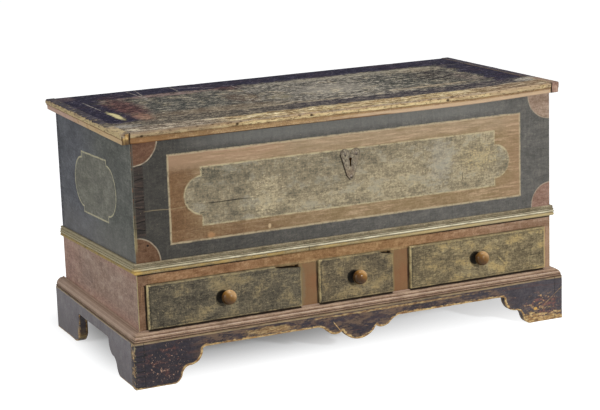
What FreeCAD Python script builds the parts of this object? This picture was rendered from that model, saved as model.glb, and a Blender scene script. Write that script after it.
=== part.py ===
import FreeCAD, Part
import math
import os

# A dovetailed chest over three lipped drawers, on a scrolled bracket base, with a hinged lid.
# Frame: X along the front, Y from front to back, Z up, the floor at Z = 0. Millimetres.

os.makedirs("parts", exist_ok=True)
Vec = FreeCAD.Vector

# ---- case ----
case_width = 1230.0          # over the outer faces of the side boards
case_depth = 620.0           # front face to back face
side_thickness = 28.0
front_thickness = 22.0
back_thickness = 20.0
deck_thickness = 20.0        # board that the drawers slide on
floor_thickness = 20.0       # board between the chest and the drawers
housing_depth = 8.0          # how far the floor and the deck enter the side boards
opening_height = 115.0       # drawer openings, deck to rail
rail_height = 50.0
rail_tenon = (10.0, 12.0, 30.0)     # length, thickness, height of the rail's end tenons
chest_board_height = 332.0   # upper front board, rail to rim
deck_drop = 6.0              # side boards run this far below the deck

# ---- dividers between the drawers ----
divider_places = (-133.0, 140.5)    # centre lines, left and right
divider_width = 62.0
divider_tongue = (11.0, 10.0)       # height and depth of the lap in the rail
partition_thickness = 20.0
guide_height = 20.0

# ---- dovetails of the case and the base ----
case_tail_pitch = 55.0       # about one tail in this height
pin_narrow = 14.0
pin_wide = 24.0
base_tail_pitch = 40.0

# ---- bracket base ----
bracket_height = 122.0
bracket_thickness = 26.0     # also how far the base stands out from the case
bracket_rail_under = 88.0    # height of the straight lower edge above the floor
base_back_overhang = 22.0    # the base runs this far behind the back boards
front_toe = 108.0            # width of a foot on the floor, seen from the front
side_toe = 130.0             # the same, seen from the side
rear_toe = 158.0
rear_foot_width = 205.0
rear_foot_round = 30.0
foot_scroll = 87.0           # from a foot's toe inwards to where its scroll meets the rail
pendant_half = 124.0
pendant_bottom = 39.0
rear_bracket_toe = 40.0
rear_bracket_length = 135.0
rear_bracket_cheek = 20.0    # its straight end, from the sweep to the board's end
block_size = 40.0            # corner glue blocks, square
block_gap = 12.0             # the corner blocks stop this far above the floor
rail_block = (90.0, 30.0, 32.0)     # length, depth, height of the blocks under the deck

# ---- mouldings ----
base_moulding_height = 26.0
base_moulding_depth = 24.0
base_moulding_fillet = 2.5
base_moulding_quirk = 1.5
base_moulding_bead = 7.0
waist_moulding_height = 29.0
waist_moulding_depth = 9.0
waist_below_joint = 15.0     # the waist moulding starts this far under the top of the rail
side_waist_drop = 26.0       # the side waist mouldings fall this much towards the back
lid_moulding_height = 26.0
lid_side_depth = 27.0
lid_side_nose = 5.0          # how far the nose stands out from the foot of the moulding
lid_front_depth = 9.0
lid_front_nose = 3.0

# ---- lid and its hinges ----
lid_thickness = 22.0
lid_gap = 1.0                # lid mouldings clear the case faces by this much
seat_gap = 0.3               # the closed lid lies this far above the rim
pivot_behind = 6.0           # hinge axis behind the back face, level with the rim
hinge_spread = 800.0         # between the two hinges
hinge_width = 36.0
hinge_plate = 3.0
strap_length = 300.0
strap_tip = 20.0
strap_neck = 45.0            # the strap is narrow from here to its tip
leaf_height = 88.0
leaf_below_knuckle = 1.5
knuckle_radius = 5.5
knuckle_width = 16.0
hinge_pin_radius = 2.5
hinge_pin_head = (3.7, 2.0)         # radius and length
pin_clearance = 0.06
joint_gap = 0.3              # between parts that move past each other
notch_gap = 2.0

# ---- lock ----
escutcheon_centre = -2.0
escutcheon_below_rim = 87.0
escutcheon_size = (57.0, 87.0)
escutcheon_thickness = 2.0
keyhole = (9.0, 5.0, 24.0)   # width of the eye and of the slot, height over both
keyhole_below_top = 24.0     # from the top of the escutcheon
nail_head = (5.6, 1.6)       # width and height of the four-sided head
nail_shank = 2.2             # square
nail_clearance = 0.1
nail_length = 14.0
lock_size = (130.0, 18.0, 165.0)
lock_wall = 2.0
lock_below_rim = 4.0
bolt_size = (52.0, 5.0, 14.0)
bolt_below_rim = 20.0        # centre line of the bolt
bolt_tail = (12.0, 72.0)
staple_thickness = 6.0
staple_wire = 3.0
staple_eye_gap = (1.0, 1.5)  # round the bolt, in depth and in height
staple_plate = (50.0, 22.0, 2.5)

# ---- till at the left end of the chest ----
till_width = 150.0
till_height = 135.0
till_below_rim = 30.0
till_board = 10.0
till_groove = 5.0

# ---- drawers ----
lip_overlap = 5.0
lip_thickness = 9.0
lip_round = 3.5
tongue_thickness = 13.0      # part of the drawer front inside the opening
drawer_side_gap = 1.5
drawer_top_gap = 2.0
drawer_sole_gap = 0.3        # the sides slide this far above the deck
front_sole_gap = 1.5
drawer_side_thickness = 11.0
drawer_back_thickness = 10.0
drawer_bottom_thickness = 8.0
drawer_bottom_up = 9.0
drawer_groove = 5.0
drawer_end_gap = 45.0        # from the back of a drawer to the back boards
drawer_tail_length = 9.0
drawer_tail_narrow = 24.0
drawer_tail_wide = 32.0
chip_drop = 7.0              # depth of the broken top lips below the opening
chip_lengths = (74.0, 36.0, 0.0)    # left, middle and right drawer

# ---- knobs ----
knob_reach = 36.0            # beyond the drawer front
knob_radius = 20.0
knob_crown = 16.0            # depth of the head in front of its widest part
knob_crown_cuts = 3          # straight cuts that round the crown
knob_stem = (9.0, 10.0)      # radius and length
knob_tenon = 6.0
knob_above_deck = 63.0
knob_inside = 4.0

# ---- places worked out from the sizes ----
half_width = case_width / 2
inner_half = half_width - side_thickness
front_reach = knob_reach + lip_thickness + joint_gap
overall_depth = front_reach + case_depth + base_back_overhang
case_front = -overall_depth / 2 + front_reach
case_back = case_front + case_depth
front_inner = case_front + front_thickness
back_inner = case_back - back_thickness
base_front = case_front - bracket_thickness
base_back = case_back + base_back_overhang
base_half = half_width + bracket_thickness
deck_top = bracket_height + base_moulding_height
opening_top = deck_top + opening_height
rail_top = opening_top + rail_height
rim = rail_top + chest_board_height
lid_bottom = rim + seat_gap
lid_top = lid_bottom + lid_thickness
lid_half = half_width + lid_gap
lid_front = case_front - lid_gap
case_bottom = deck_top - deck_thickness - deck_drop
drawer_back = back_inner - drawer_end_gap
lip_back = case_front - joint_gap
lip_face = lip_back - lip_thickness
pivot_y = case_back + pivot_behind
escutcheon_top = rim - escutcheon_below_rim
keyhole_top = escutcheon_top - keyhole_below_top
lock_top = rim - lock_below_rim
bolt_y = front_inner + lock_size[1] / 2
bolt_z = rim - bolt_below_rim
bolt_tip = -staple_thickness / 2 - notch_gap


def box(x0, x1, y0, y1, z0, z1):
    corner = Vec(min(x0, x1), min(y0, y1), min(z0, z1))
    return Part.makeBox(abs(x1 - x0), abs(y1 - y0), abs(z1 - z0), corner)


def outline(start, moves, place):
    """Closed face from (u, v) points; a move is an end point, or a middle and an end of an arc."""
    edges = []
    here = place(*start)
    end = moves[-1][1] if isinstance(moves[-1][0], tuple) else moves[-1]
    for move in moves if end == start else moves + [start]:
        if isinstance(move[0], tuple):
            there = place(*move[1])
            edges.append(Part.Arc(here, place(*move[0]), there).toShape())
        else:
            there = place(*move)
            edges.append(Part.LineSegment(here, there).toShape())
        here = there
    return Part.Face(Part.Wire(edges))


def front_view(y):
    """Places (u, v) as X and Z in the plane at this Y."""
    return lambda u, v: Vec(u, y, v)


def side_view(x):
    """Places (u, v) as Y and Z in the plane at this X."""
    return lambda u, v: Vec(x, u, v)


def joined(shapes):
    whole = shapes[0]
    for shape in shapes[1:]:
        whole = whole.fuse(shape)
    return whole.removeSplitter()


def mirrored(shape):
    return shape.mirror(Vec(0, 0, 0), Vec(1, 0, 0))


def rod(radius, start, end):
    along = end.sub(start)
    return Part.makeCylinder(radius, along.Length, start, along)


# ---- dovetails ----

def pins(edge, root, low, high, pitch, place, travel):
    """Pins of a through dovetail: narrow at the end of the tails, wide at their root."""
    count = max(1, round((high - low) / pitch))
    step = (high - low) / count
    shapes = []
    for number in range(count + 1):
        centre = low + number * step
        corners = []
        for u, half, way in ((edge, pin_narrow / 2, -1), (edge, pin_narrow / 2, 1),
                             (root, pin_wide / 2, 1), (root, pin_wide / 2, -1)):
            corners.append((u, min(max(centre + way * half, low), high)))
        face = outline(corners[0], corners[1:], place)
        shapes.append(face.extrude(travel))
    return shapes


def front_corner_pins(side):
    return pins(side * half_width, side * inner_half, rail_top, rim, case_tail_pitch,
                front_view(case_front), Vec(0, front_thickness, 0))


def back_corner_pins(side):
    return pins(side * half_width, side * inner_half, opening_top, rim, case_tail_pitch,
                front_view(back_inner), Vec(0, back_thickness, 0))


def base_corner_pins(side):
    return pins(base_front, case_front, 0.0, bracket_height, base_tail_pitch,
                side_view(side * base_half), Vec(-side * bracket_thickness, 0, 0))


# ---- case ----

def rail_end_tenon(side):
    length, thickness, height = rail_tenon
    middle_y = case_front + front_thickness / 2
    middle_z = opening_top + rail_height / 2
    return box(side * inner_half, side * (inner_half + length),
               middle_y - thickness / 2, middle_y + thickness / 2,
               middle_z - height / 2, middle_z + height / 2)


def deck_blank():
    reach = inner_half + housing_depth
    return box(-reach, reach, case_front, back_inner, deck_top - deck_thickness, deck_top)


def floor_blank():
    reach = inner_half + housing_depth
    return box(-reach, reach, front_inner, back_inner, opening_top, opening_top + floor_thickness)


def side_board(side):
    x0, x1 = side * inner_half, side * half_width
    board = box(x0, x1, case_front, case_back, case_bottom, rim)
    board = board.cut(box(x0, x1, case_front, front_inner, rail_top, rim))
    board = board.cut(box(x0, x1, back_inner, case_back, opening_top, rim))
    board = board.cut([deck_blank(), floor_blank(), rail_end_tenon(side)])
    return joined([board] + front_corner_pins(side) + back_corner_pins(side))


def keyhole_tool(y0, y1):
    """Round eye over a straight slot, with the whole height of the keyhole."""
    eye_width, slot_width, height = keyhole
    radius = eye_width / 2
    x, z = escutcheon_centre, keyhole_top - radius
    slot = box(x - slot_width / 2, x + slot_width / 2, y0, y1, keyhole_top - height, z)
    return rod(radius, Vec(x, y0, z), Vec(x, y1, z)).fuse(slot)


def nail_places():
    wide, tall = escutcheon_size
    x, top = escutcheon_centre, escutcheon_top
    return ((x - wide * 0.28, top - tall * 0.15), (x + wide * 0.28, top - tall * 0.15),
            (x, top - tall * 0.85))


def nail_holes(y0, y1):
    half = nail_shank / 2 + nail_clearance
    return [box(x - half, x + half, y0, y1, z - half, z + half) for x, z in nail_places()]


def till_boards():
    """The till's front and bottom, let into the chest's front and back boards."""
    y0, y1 = front_inner - till_groove, back_inner + till_groove
    top = rim - till_below_rim
    inner = -inner_half + till_width
    front = box(inner, inner + till_board, y0, y1, top - till_height, top)
    bottom = box(-inner_half, inner, y0, y1, top - till_height, top - till_height + till_board)
    return front, bottom


def front_board():
    board = box(-half_width, half_width, case_front, front_inner, rail_top, rim)
    board = board.cut(front_corner_pins(-1) + front_corner_pins(1))
    board = board.cut(list(till_boards()) + nail_holes(case_front, front_inner))
    return board.cut(keyhole_tool(case_front, front_inner))


def strap_notches():
    half = hinge_width / 2 + notch_gap
    depth = hinge_plate + joint_gap
    return [box(x - half, x + half, back_inner, case_back, rim - depth, rim)
            for x in (-hinge_spread / 2, hinge_spread / 2)]


def back_board_upper():
    board = box(-half_width, half_width, back_inner, case_back, opening_top, rim)
    board = board.cut(back_corner_pins(-1) + back_corner_pins(1))
    return board.cut(list(till_boards()) + strap_notches())


def back_board_lower():
    return box(-inner_half, inner_half, back_inner, case_back, case_bottom, opening_top)


def divider(x):
    tongue_height, tongue_depth = divider_tongue
    half = divider_width / 2
    post = box(x - half, x + half, case_front, front_inner, deck_top, opening_top)
    tongue = box(x - half, x + half, case_front, case_front + tongue_depth,
                 opening_top, opening_top + tongue_height)
    return joined([post, tongue])


def drawer_rail():
    rail = box(-inner_half, inner_half, case_front, front_inner, opening_top, rail_top)
    rail = joined([rail, rail_end_tenon(-1), rail_end_tenon(1)])
    return rail.cut([divider(x) for x in divider_places])


def partition(x):
    half = partition_thickness / 2
    return box(x - half, x + half, front_inner, back_inner, deck_top, opening_top)


def drawer_guides():
    strips = []
    for x in divider_places:
        for side in (-1, 1):
            strips.append(box(x + side * partition_thickness / 2, x + side * divider_width / 2,
                              front_inner, back_inner, deck_top, deck_top + guide_height))
    return strips


# ---- mouldings ----

def base_moulding_face(place):
    """Fillet, broad ovolo, quirk and small bead, from the case face outwards."""
    low, high, out = bracket_height, deck_top, base_moulding_depth
    fillet, quirk, bead = base_moulding_fillet, base_moulding_quirk, base_moulding_bead
    bend = 1 - math.sqrt(0.5)
    head, foot = high - fillet, low + bead
    round_out, round_high = out - quirk - fillet, head - foot
    moves = [(0.0, high), (fillet, high), (fillet, head),
             ((fillet + round_out * (1 - bend), head - round_high * bend),
              (out - quirk, foot)),
             (out - 2 * quirk, foot - quirk),
             ((out, low + bead / 2), (out - quirk, low))]
    return outline((0.0, low), moves, place)


def waist_moulding_face(place):
    """Three reeds over a heavier bead; the lowest reed stands furthest out."""
    low = rail_top - waist_below_joint
    high = low + waist_moulding_height
    bead, out = waist_moulding_height * 0.31, waist_moulding_depth
    reed = (waist_moulding_height - bead) / 3
    moves = [(out * 0.55, low), ((out * 0.94, low + bead / 2), (out * 0.67, low + bead))]
    for number, (bulge, groove) in enumerate(((1.0, 0.67), (0.89, 0.55), (0.72, 0.33))):
        z = low + bead + number * reed
        moves.append(((out * bulge, z + reed / 2), (out * groove, z + reed)))
    moves.append((0.0, high))
    return outline((0.0, low), moves, place)


def lid_moulding_face(depth, nose, place):
    """Flat foot, cove and rounded nose, its top level with the lid."""
    height = lid_moulding_height
    low, high = lid_top - height, lid_top
    foot = depth - nose
    moves = [(foot, low), (foot, low + height * 0.23),
             ((foot + nose * 0.25, low + height * 0.42), (depth - nose * 0.2, low + height * 0.54)),
             ((depth, low + height * 0.73), (depth - nose * 0.6, high)), (0.0, high)]
    return outline((0.0, low), moves, place)


def mitre_wedges(depth, low, high):
    """Left corner: the wedge to take off the front run, and the one to take off the side run."""
    corner = (-half_width, case_front)
    tip = (-half_width - depth, case_front - depth)
    wedges = []
    for third in ((-half_width - depth, case_front), (-half_width, case_front - depth)):
        face = outline(corner, [tip, third], lambda u, v: Vec(u, v, low - depth))
        wedges.append(face.extrude(Vec(0, 0, high - low + 2 * depth)))
    return wedges


def front_moulding(face_of, depth, low, high):
    start = -half_width - depth
    run = face_of(lambda p, z: Vec(start, case_front - p, z)).extrude(Vec(-2 * start, 0, 0))
    wedge = mitre_wedges(depth, low, high)[0]
    return run.cut([wedge, mirrored(wedge)])


def left_moulding(face_of, depth, low, high, end, drop=0.0):
    """A drop tips the run about the case's front corner, so that it falls towards the back."""
    start, spare = case_front - depth, 2 * depth
    face = face_of(lambda p, z: Vec(-half_width - p, start, z))
    if drop == 0:
        run = face.extrude(Vec(0, end - start, 0))
        return run.cut(mitre_wedges(depth, low, high)[1])
    face.translate(Vec(0, -spare, 0))
    run = face.extrude(Vec(0, end - start + 2 * spare, 0))
    slope = math.degrees(math.atan(drop / (end - case_front)))
    run.rotate(Vec(0, case_front, low), Vec(1, 0, 0), -slope)
    ends = [box(-half_width - spare, -half_width + spare, start - 2 * spare, start,
                low - drop, high + drop),
            box(-half_width - spare, -half_width + spare, end, end + 2 * spare,
                low - 2 * drop, high)]
    return run.cut(ends + [mitre_wedges(depth, low, high)[1]])


def base_mouldings():
    low, high = bracket_height, deck_top
    front = front_moulding(base_moulding_face, base_moulding_depth, low, high)
    left = left_moulding(base_moulding_face, base_moulding_depth, low, high, base_back)
    return front, left


def waist_mouldings():
    low = rail_top - waist_below_joint
    high = low + waist_moulding_height
    depth = waist_moulding_depth
    front = front_moulding(waist_moulding_face, depth, low, high)
    left = left_moulding(waist_moulding_face, depth, low, high, case_back, side_waist_drop)
    return front, left


# ---- bracket base ----

def foot_moves(outer, way, toe):
    """Inner edge of a foot, floor to rail: rounded toe, hollow, cusp, lobe and a small step."""
    def at(u, v):
        return (outer + way * (toe + u * foot_scroll), v * bracket_rail_under)
    return [at(0.0, 0.0), (at(0.15, 0.09), at(0.24, 0.27)), (at(0.32, 0.42), at(0.47, 0.5)),
            (at(0.78, 0.6), at(0.92, 0.875)), at(0.92, 0.955), at(1.0, 1.0)]


def reversed_moves(moves):
    """The same edge walked the other way."""
    points = [move[1] if isinstance(move[0], tuple) else move for move in moves]
    back = [points[-1]]
    for index in range(len(moves) - 1, 0, -1):
        move, end = moves[index], points[index - 1]
        back.append((move[0], end) if isinstance(move[0], tuple) else end)
    return back


def pendant_moves():
    """Right half of the drop in the middle of the front, from its bottom to the rail."""
    def at(u, v):
        return (u * pendant_half, pendant_bottom + v * (bracket_rail_under - pendant_bottom))
    return [at(0.0, 0.0), (at(0.225, 0.14), at(0.38, 0.51)), at(0.41, 0.61), at(0.45, 0.53),
            (at(0.605, 0.47), at(0.74, 0.63)), (at(0.855, 0.88), at(1.0, 1.0))]


def mirror_moves(moves):
    flip = lambda point: (-point[0], point[1])
    return [(flip(move[0]), flip(move[1])) if isinstance(move[0], tuple) else flip(move)
            for move in moves]


def bracket_front():
    left_foot = foot_moves(-base_half, 1, front_toe)
    right_foot = foot_moves(base_half, -1, front_toe)
    drop = pendant_moves()
    left_drop = mirror_moves(drop)
    moves = left_foot + reversed_moves(left_drop) + drop[1:]
    moves += reversed_moves(right_foot) + [(base_half, 0.0), (base_half, bracket_height),
                                           (-base_half, bracket_height)]
    board = outline((-base_half, 0.0), moves, front_view(base_front))
    board = board.extrude(Vec(0, bracket_thickness, 0))
    for side in (-1, 1):
        corner = box(side * half_width, side * base_half, base_front, case_front,
                     0, bracket_height)
        board = board.cut(corner.cut(base_corner_pins(side)))
    return board


def bracket_left():
    inner = base_back - rear_foot_width
    toe_end = base_back - rear_toe
    run = toe_end - inner
    radius = (run ** 2 + rear_foot_round ** 2) / (2 * rear_foot_round)
    half_turn = math.asin(run / radius) / 2
    middle = (toe_end - radius * math.sin(half_turn), radius - radius * math.cos(half_turn))
    moves = foot_moves(base_front, 1, side_toe)
    moves += [(inner, bracket_rail_under), (inner, rear_foot_round),
              (middle, (toe_end, 0.0)), (base_back, 0.0),
              (base_back, bracket_height), (base_front, bracket_height)]
    board = outline((base_front, 0.0), moves, side_view(-base_half))
    board = board.extrude(Vec(bracket_thickness, 0, 0))
    return board.cut(base_corner_pins(-1))


def bracket_rear_left():
    """Brace between the left bracket and the floor of the case, cut away in one sweep."""
    end = -half_width + rear_bracket_length
    toe = -half_width + rear_bracket_toe
    top = (end - rear_bracket_cheek, bracket_rail_under * 0.8)
    bend = (toe + (top[0] - toe) * 0.47, top[1] * 0.56)
    moves = [(toe, 0.0), (bend, top), (end, bracket_height), (-half_width, bracket_height)]
    board = outline((-half_width, 0.0), moves, front_view(case_back))
    return board.extrude(Vec(0, base_back_overhang, 0))


def glue_blocks():
    """Upright blocks inside the four feet, and flat ones behind the front and side rails."""
    blocks = []
    x0, x1 = -half_width, -half_width + block_size
    for y0, y1 in ((case_front, case_front + block_size), (case_back - block_size, case_back)):
        post = box(x0, x1, y0, y1, block_gap, case_bottom)
        blocks += [post, mirrored(post)]
    length, depth, height = rail_block
    top = deck_top - deck_thickness
    for x in (-inner_half / 2, 0.0, inner_half / 2):
        blocks.append(box(x - length / 2, x + length / 2, case_front, case_front + depth,
                          top - height, top))
    return blocks


# ---- drawers ----

def drawer_tails(x0, x1, root, end, low, high):
    """Two tails on a drawer side, flaring from root to end."""
    shapes = []
    for share in (0.27, 0.73):
        centre = low + share * (high - low)
        start = (root, centre - drawer_tail_narrow / 2)
        moves = [(end, centre - drawer_tail_wide / 2), (end, centre + drawer_tail_wide / 2),
                 (root, centre + drawer_tail_narrow / 2)]
        shapes.append(outline(start, moves, side_view(x0)).extrude(Vec(x1 - x0, 0, 0)))
    return shapes


def rounded_lip(x0, x1, z0, z1):
    lip = box(x0, x1, lip_face, lip_back, z0, z1)
    face_edges = [edge for edge in lip.Edges if abs(edge.BoundBox.YMax - lip_face) < 1e-6]
    return lip.makeFillet(lip_round, face_edges)


def chip_tool(x0, x1):
    """Wedge that takes away a broken top lip between x0 and x1."""
    y0, y1 = lip_face - lip_thickness, case_front + 2 * tongue_thickness
    top = opening_top + 2 * lip_overlap
    moves = [(x0, opening_top), (x1, opening_top - chip_drop), (x1, top)]
    face = outline((x0 - lip_overlap, top), moves, front_view(y0))
    return face.extrude(Vec(0, y1 - y0, 0))


def drawer_pieces(x0, x1, chip_length):
    """The six pieces of the drawer for the opening from x0 to x1, knob included."""
    tongue_back = case_front + tongue_thickness
    back_y = drawer_back
    left, right = x0 + drawer_side_gap, x1 - drawer_side_gap
    low, top = deck_top + drawer_sole_gap, opening_top - drawer_top_gap
    front_low = deck_top + front_sole_gap
    wall = drawer_side_thickness

    front = joined([rounded_lip(x0 - lip_overlap, x1 + lip_overlap, front_low,
                                opening_top + lip_overlap),
                    box(left, right, lip_back, tongue_back, front_low, top)])
    back_low = low + drawer_bottom_up + drawer_bottom_thickness
    back = box(left, right, back_y - drawer_back_thickness, back_y, back_low, top)

    groove_y = tongue_back - drawer_groove
    panel = box(left + wall - drawer_groove, right - wall + drawer_groove, groove_y, back_y,
                low + drawer_bottom_up, back_low)
    sides = []
    for outer, inner in ((left, left + wall), (right, right - wall)):
        front_tails = drawer_tails(outer, inner, tongue_back, tongue_back - drawer_tail_length,
                                   low, top)
        back_tails = drawer_tails(outer, inner, back_y - drawer_back_thickness, back_y,
                                  back_low, top)
        board = box(outer, inner, tongue_back, back_y - drawer_back_thickness, low, top)
        heel = box(outer, inner, back_y - drawer_back_thickness, back_y, low, back_low)
        board = joined([board, heel] + front_tails + back_tails).cut(panel)
        sides.append(board)
        front = front.cut(front_tails)
        back = back.cut(back_tails)
    front = front.cut(panel)
    if chip_length > 0:
        front = front.cut(chip_tool(x1 + lip_overlap - chip_length, x1 + 2 * lip_overlap))

    x, z = (x0 + x1) / 2, deck_top + knob_above_deck
    hole = rod(knob_tenon + pin_clearance, Vec(x, lip_face, z), Vec(x, tongue_back, z))
    front = front.cut(hole)
    return {"front": front, "side_left": sides[0], "side_right": sides[1], "back": back,
            "bottom": panel, "knob": knob(x, z)}


def quarter_oval(start, end, cuts):
    """Points (radius, y) on a quarter oval from start to end, leaving start along y."""
    points = []
    for number in range(1, cuts + 1):
        turn = math.pi / 2 * number / cuts
        points.append((end[0] + (start[0] - end[0]) * math.cos(turn),
                       start[1] + (end[1] - start[1]) * math.sin(turn)))
    return points


def knob(x, z):
    """Turned knob: tenon, straight stem and a mushroom head with a rounded crown."""
    face, tail = lip_face, case_front + tongue_thickness + knob_inside
    tip = face - knob_reach
    stem_radius, stem_length = knob_stem
    widest = (knob_radius, tip + knob_crown)
    moves = [(knob_tenon, tail), (knob_tenon, face), (stem_radius, face),
             (stem_radius, face - stem_length), widest]
    moves += quarter_oval(widest, (0.0, tip), knob_crown_cuts)
    section = outline((0.0, tail), moves, lambda r, y: Vec(x + r, y, z))
    return section.revolve(Vec(x, 0, z), Vec(0, 1, 0), 360)


# ---- lid ----

def lid_board():
    return box(-lid_half, lid_half, lid_front, case_back, lid_bottom, lid_top)


def lid_mouldings():
    front_face = lid_moulding_face(lid_front_depth, lid_front_nose,
                                   lambda p, z: Vec(-lid_half, lid_front - p, z))
    front = front_face.extrude(Vec(2 * lid_half, 0, 0))
    side_start = lid_front - lid_front_depth
    side_face = lid_moulding_face(lid_side_depth, lid_side_nose,
                                  lambda p, z: Vec(-lid_half - p, side_start, z))
    left = side_face.extrude(Vec(0, case_back - side_start, 0))
    return front, left


def hinge_strap(x):
    """Tapered strap under the lid, with the two outer knuckles of the hinge."""
    half, tongue = hinge_width / 2, knuckle_width / 2 + joint_gap
    y_end, y_tip = case_back - joint_gap, case_back - strap_length
    z0, z1 = lid_bottom - hinge_plate, lid_bottom
    narrow = strap_tip / 2
    place = lambda u, v: Vec(x + u, v, z0)
    moves = [(half, y_end), (narrow, y_tip + strap_neck), (narrow, y_tip + narrow),
             ((0.0, y_tip), (-narrow, y_tip + narrow)), (-narrow, y_tip + strap_neck)]
    strap = outline((-half, y_end), moves, place).extrude(Vec(0, 0, z1 - z0))
    shapes = [strap]
    for side in (-1, 1):
        inner, outer = x + side * tongue, x + side * half
        shapes.append(box(inner, outer, y_end, pivot_y, z0, z1))
        shapes.append(rod(knuckle_radius, Vec(inner, pivot_y, rim), Vec(outer, pivot_y, rim)))
    bore = rod(hinge_pin_radius + pin_clearance, Vec(x - 2 * half, pivot_y, rim),
               Vec(x + 2 * half, pivot_y, rim))
    clear = box(x - tongue, x + tongue, y_end, pivot_y + knuckle_radius, z0, z1 + knuckle_radius)
    return joined(shapes).cut([bore, clear])


def hinge_leaf(x):
    """Leaf on the outside of the back board, with the middle knuckle."""
    half, tongue = hinge_width / 2, knuckle_width / 2
    top = rim - knuckle_radius - leaf_below_knuckle
    plate = box(x - half, x + half, case_back, case_back + hinge_plate, top - leaf_height, top)
    neck = box(x - tongue, x + tongue, case_back, case_back + hinge_plate, top, rim)
    ring = rod(knuckle_radius, Vec(x - tongue, pivot_y, rim), Vec(x + tongue, pivot_y, rim))
    bore = rod(hinge_pin_radius + pin_clearance, Vec(x - half, pivot_y, rim),
               Vec(x + half, pivot_y, rim))
    return joined([plate, neck, ring]).cut(bore)


def hinge_pins():
    shapes = []
    for x in (-hinge_spread / 2, hinge_spread / 2):
        half = hinge_width / 2 + joint_gap
        pin = rod(hinge_pin_radius, Vec(x - half, pivot_y, rim), Vec(x + half, pivot_y, rim))
        head = rod(hinge_pin_head[0], Vec(x + half, pivot_y, rim),
                   Vec(x + half + hinge_pin_head[1], pivot_y, rim))
        shapes.append(joined([pin, head]))
    return shapes


# ---- lock ----

def escutcheon():
    """Heart-topped iron plate drawn in to a point, with its keyhole and nail holes."""
    wide, tall = escutcheon_size
    half = wide / 2
    def at(u, v):
        return (escutcheon_centre + u * half, escutcheon_top - v * tall)
    moves = [(at(0.28, 0.03), at(0.5, 0.0)), (at(0.93, 0.05), at(0.97, 0.2)),
             (at(0.78, 0.42), at(0.5, 0.72)), (at(0.33, 0.86), at(0.0, 1.0)),
             (at(-0.33, 0.86), at(-0.5, 0.72)), (at(-0.78, 0.42), at(-0.97, 0.2)),
             (at(-0.93, 0.05), at(-0.5, 0.0)), (at(-0.28, 0.03), at(0.0, 0.17))]
    y0 = case_front - escutcheon_thickness
    plate = outline(at(0.0, 0.17), moves, front_view(y0))
    plate = plate.extrude(Vec(0, escutcheon_thickness, 0))
    return plate.cut([keyhole_tool(y0, case_front)] + nail_holes(y0, case_front))


def tapered(x, z, y0, width0, y1, width1):
    """Square bar along Y with one width at y0 and another at y1."""
    half0, half1 = width0 / 2, width1 / 2
    bar = Part.makeWedge(-half0, y0, -half0, -half1, -half1, half0, y1, half0, half1, half1)
    bar.translate(Vec(x, 0, z))
    return bar


def escutcheon_nails():
    """Forged nails with four-sided heads and tapered shanks."""
    y = case_front - escutcheon_thickness
    width, height = nail_head
    nails = []
    for x, z in nail_places():
        head = tapered(x, z, y - height, width * 0.35, y, width)
        shank = tapered(x, z, y, nail_shank, y + nail_length, nail_shank * 0.4)
        nails.append(joined([head, shank]))
    return nails


def lock_case():
    """Iron box, open towards the front board, with a slot for the staple and the bolt's guides."""
    wide, deep, tall = lock_size
    x0, x1 = -wide / 2, wide / 2
    y1 = front_inner + deep
    z0 = lock_top - tall
    shell = box(x0, x1, front_inner, y1, z0, lock_top)
    hollow = box(x0 + lock_wall, x1 - lock_wall, front_inner, y1 - lock_wall,
                 z0 + lock_wall, lock_top - lock_wall)
    slot_half = staple_thickness / 2 + notch_gap
    slot = box(-slot_half, slot_half, front_inner, y1 - lock_wall, lock_top - lock_wall, lock_top)
    thickness, height = bolt_size[1:]
    guide_x0, guide_x1 = x0 + lock_wall, -slot_half - bolt_tail[0] / 2
    half = height / 2 + joint_gap
    rear = box(guide_x0, guide_x1, bolt_y + thickness / 2 + joint_gap, y1 - lock_wall,
               bolt_z - half - lock_wall, bolt_z + half + lock_wall)
    upper = box(guide_x0, guide_x1, bolt_y - thickness / 2, y1 - lock_wall,
                bolt_z + half, bolt_z + half + lock_wall)
    return joined([shell.cut([hollow, slot]), rear, upper])


def lock_bolt():
    length, thickness, height = bolt_size
    tail_width, tail_height = bolt_tail
    y0, y1 = bolt_y - thickness / 2, bolt_y + thickness / 2
    bar = box(bolt_tip - length, bolt_tip, y0, y1, bolt_z - height / 2, bolt_z + height / 2)
    middle = bolt_tip - length * 0.45
    tail = box(middle - tail_width / 2, middle + tail_width / 2, y0, y1,
               bolt_z - height / 2 - tail_height, bolt_z)
    return joined([bar, tail])


def lid_staple():
    """Plate under the lid with a loop that the bolt passes through."""
    wide, deep, thick = staple_plate
    half = staple_thickness / 2
    plate = box(-wide / 2, wide / 2, front_inner + notch_gap, front_inner + notch_gap + deep,
                lid_bottom - thick, lid_bottom)
    eye_y = bolt_size[1] / 2 + staple_eye_gap[0]
    eye_z = bolt_size[2] / 2 + staple_eye_gap[1]
    loop = box(-half, half, bolt_y - eye_y - staple_wire, bolt_y + eye_y + staple_wire,
               bolt_z - eye_z - staple_wire, lid_bottom - thick)
    eye = box(-half, half, bolt_y - eye_y, bolt_y + eye_y, bolt_z - eye_z, bolt_z + eye_z)
    return joined([plate, loop.cut(eye)])


# ---- nodes ----

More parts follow.
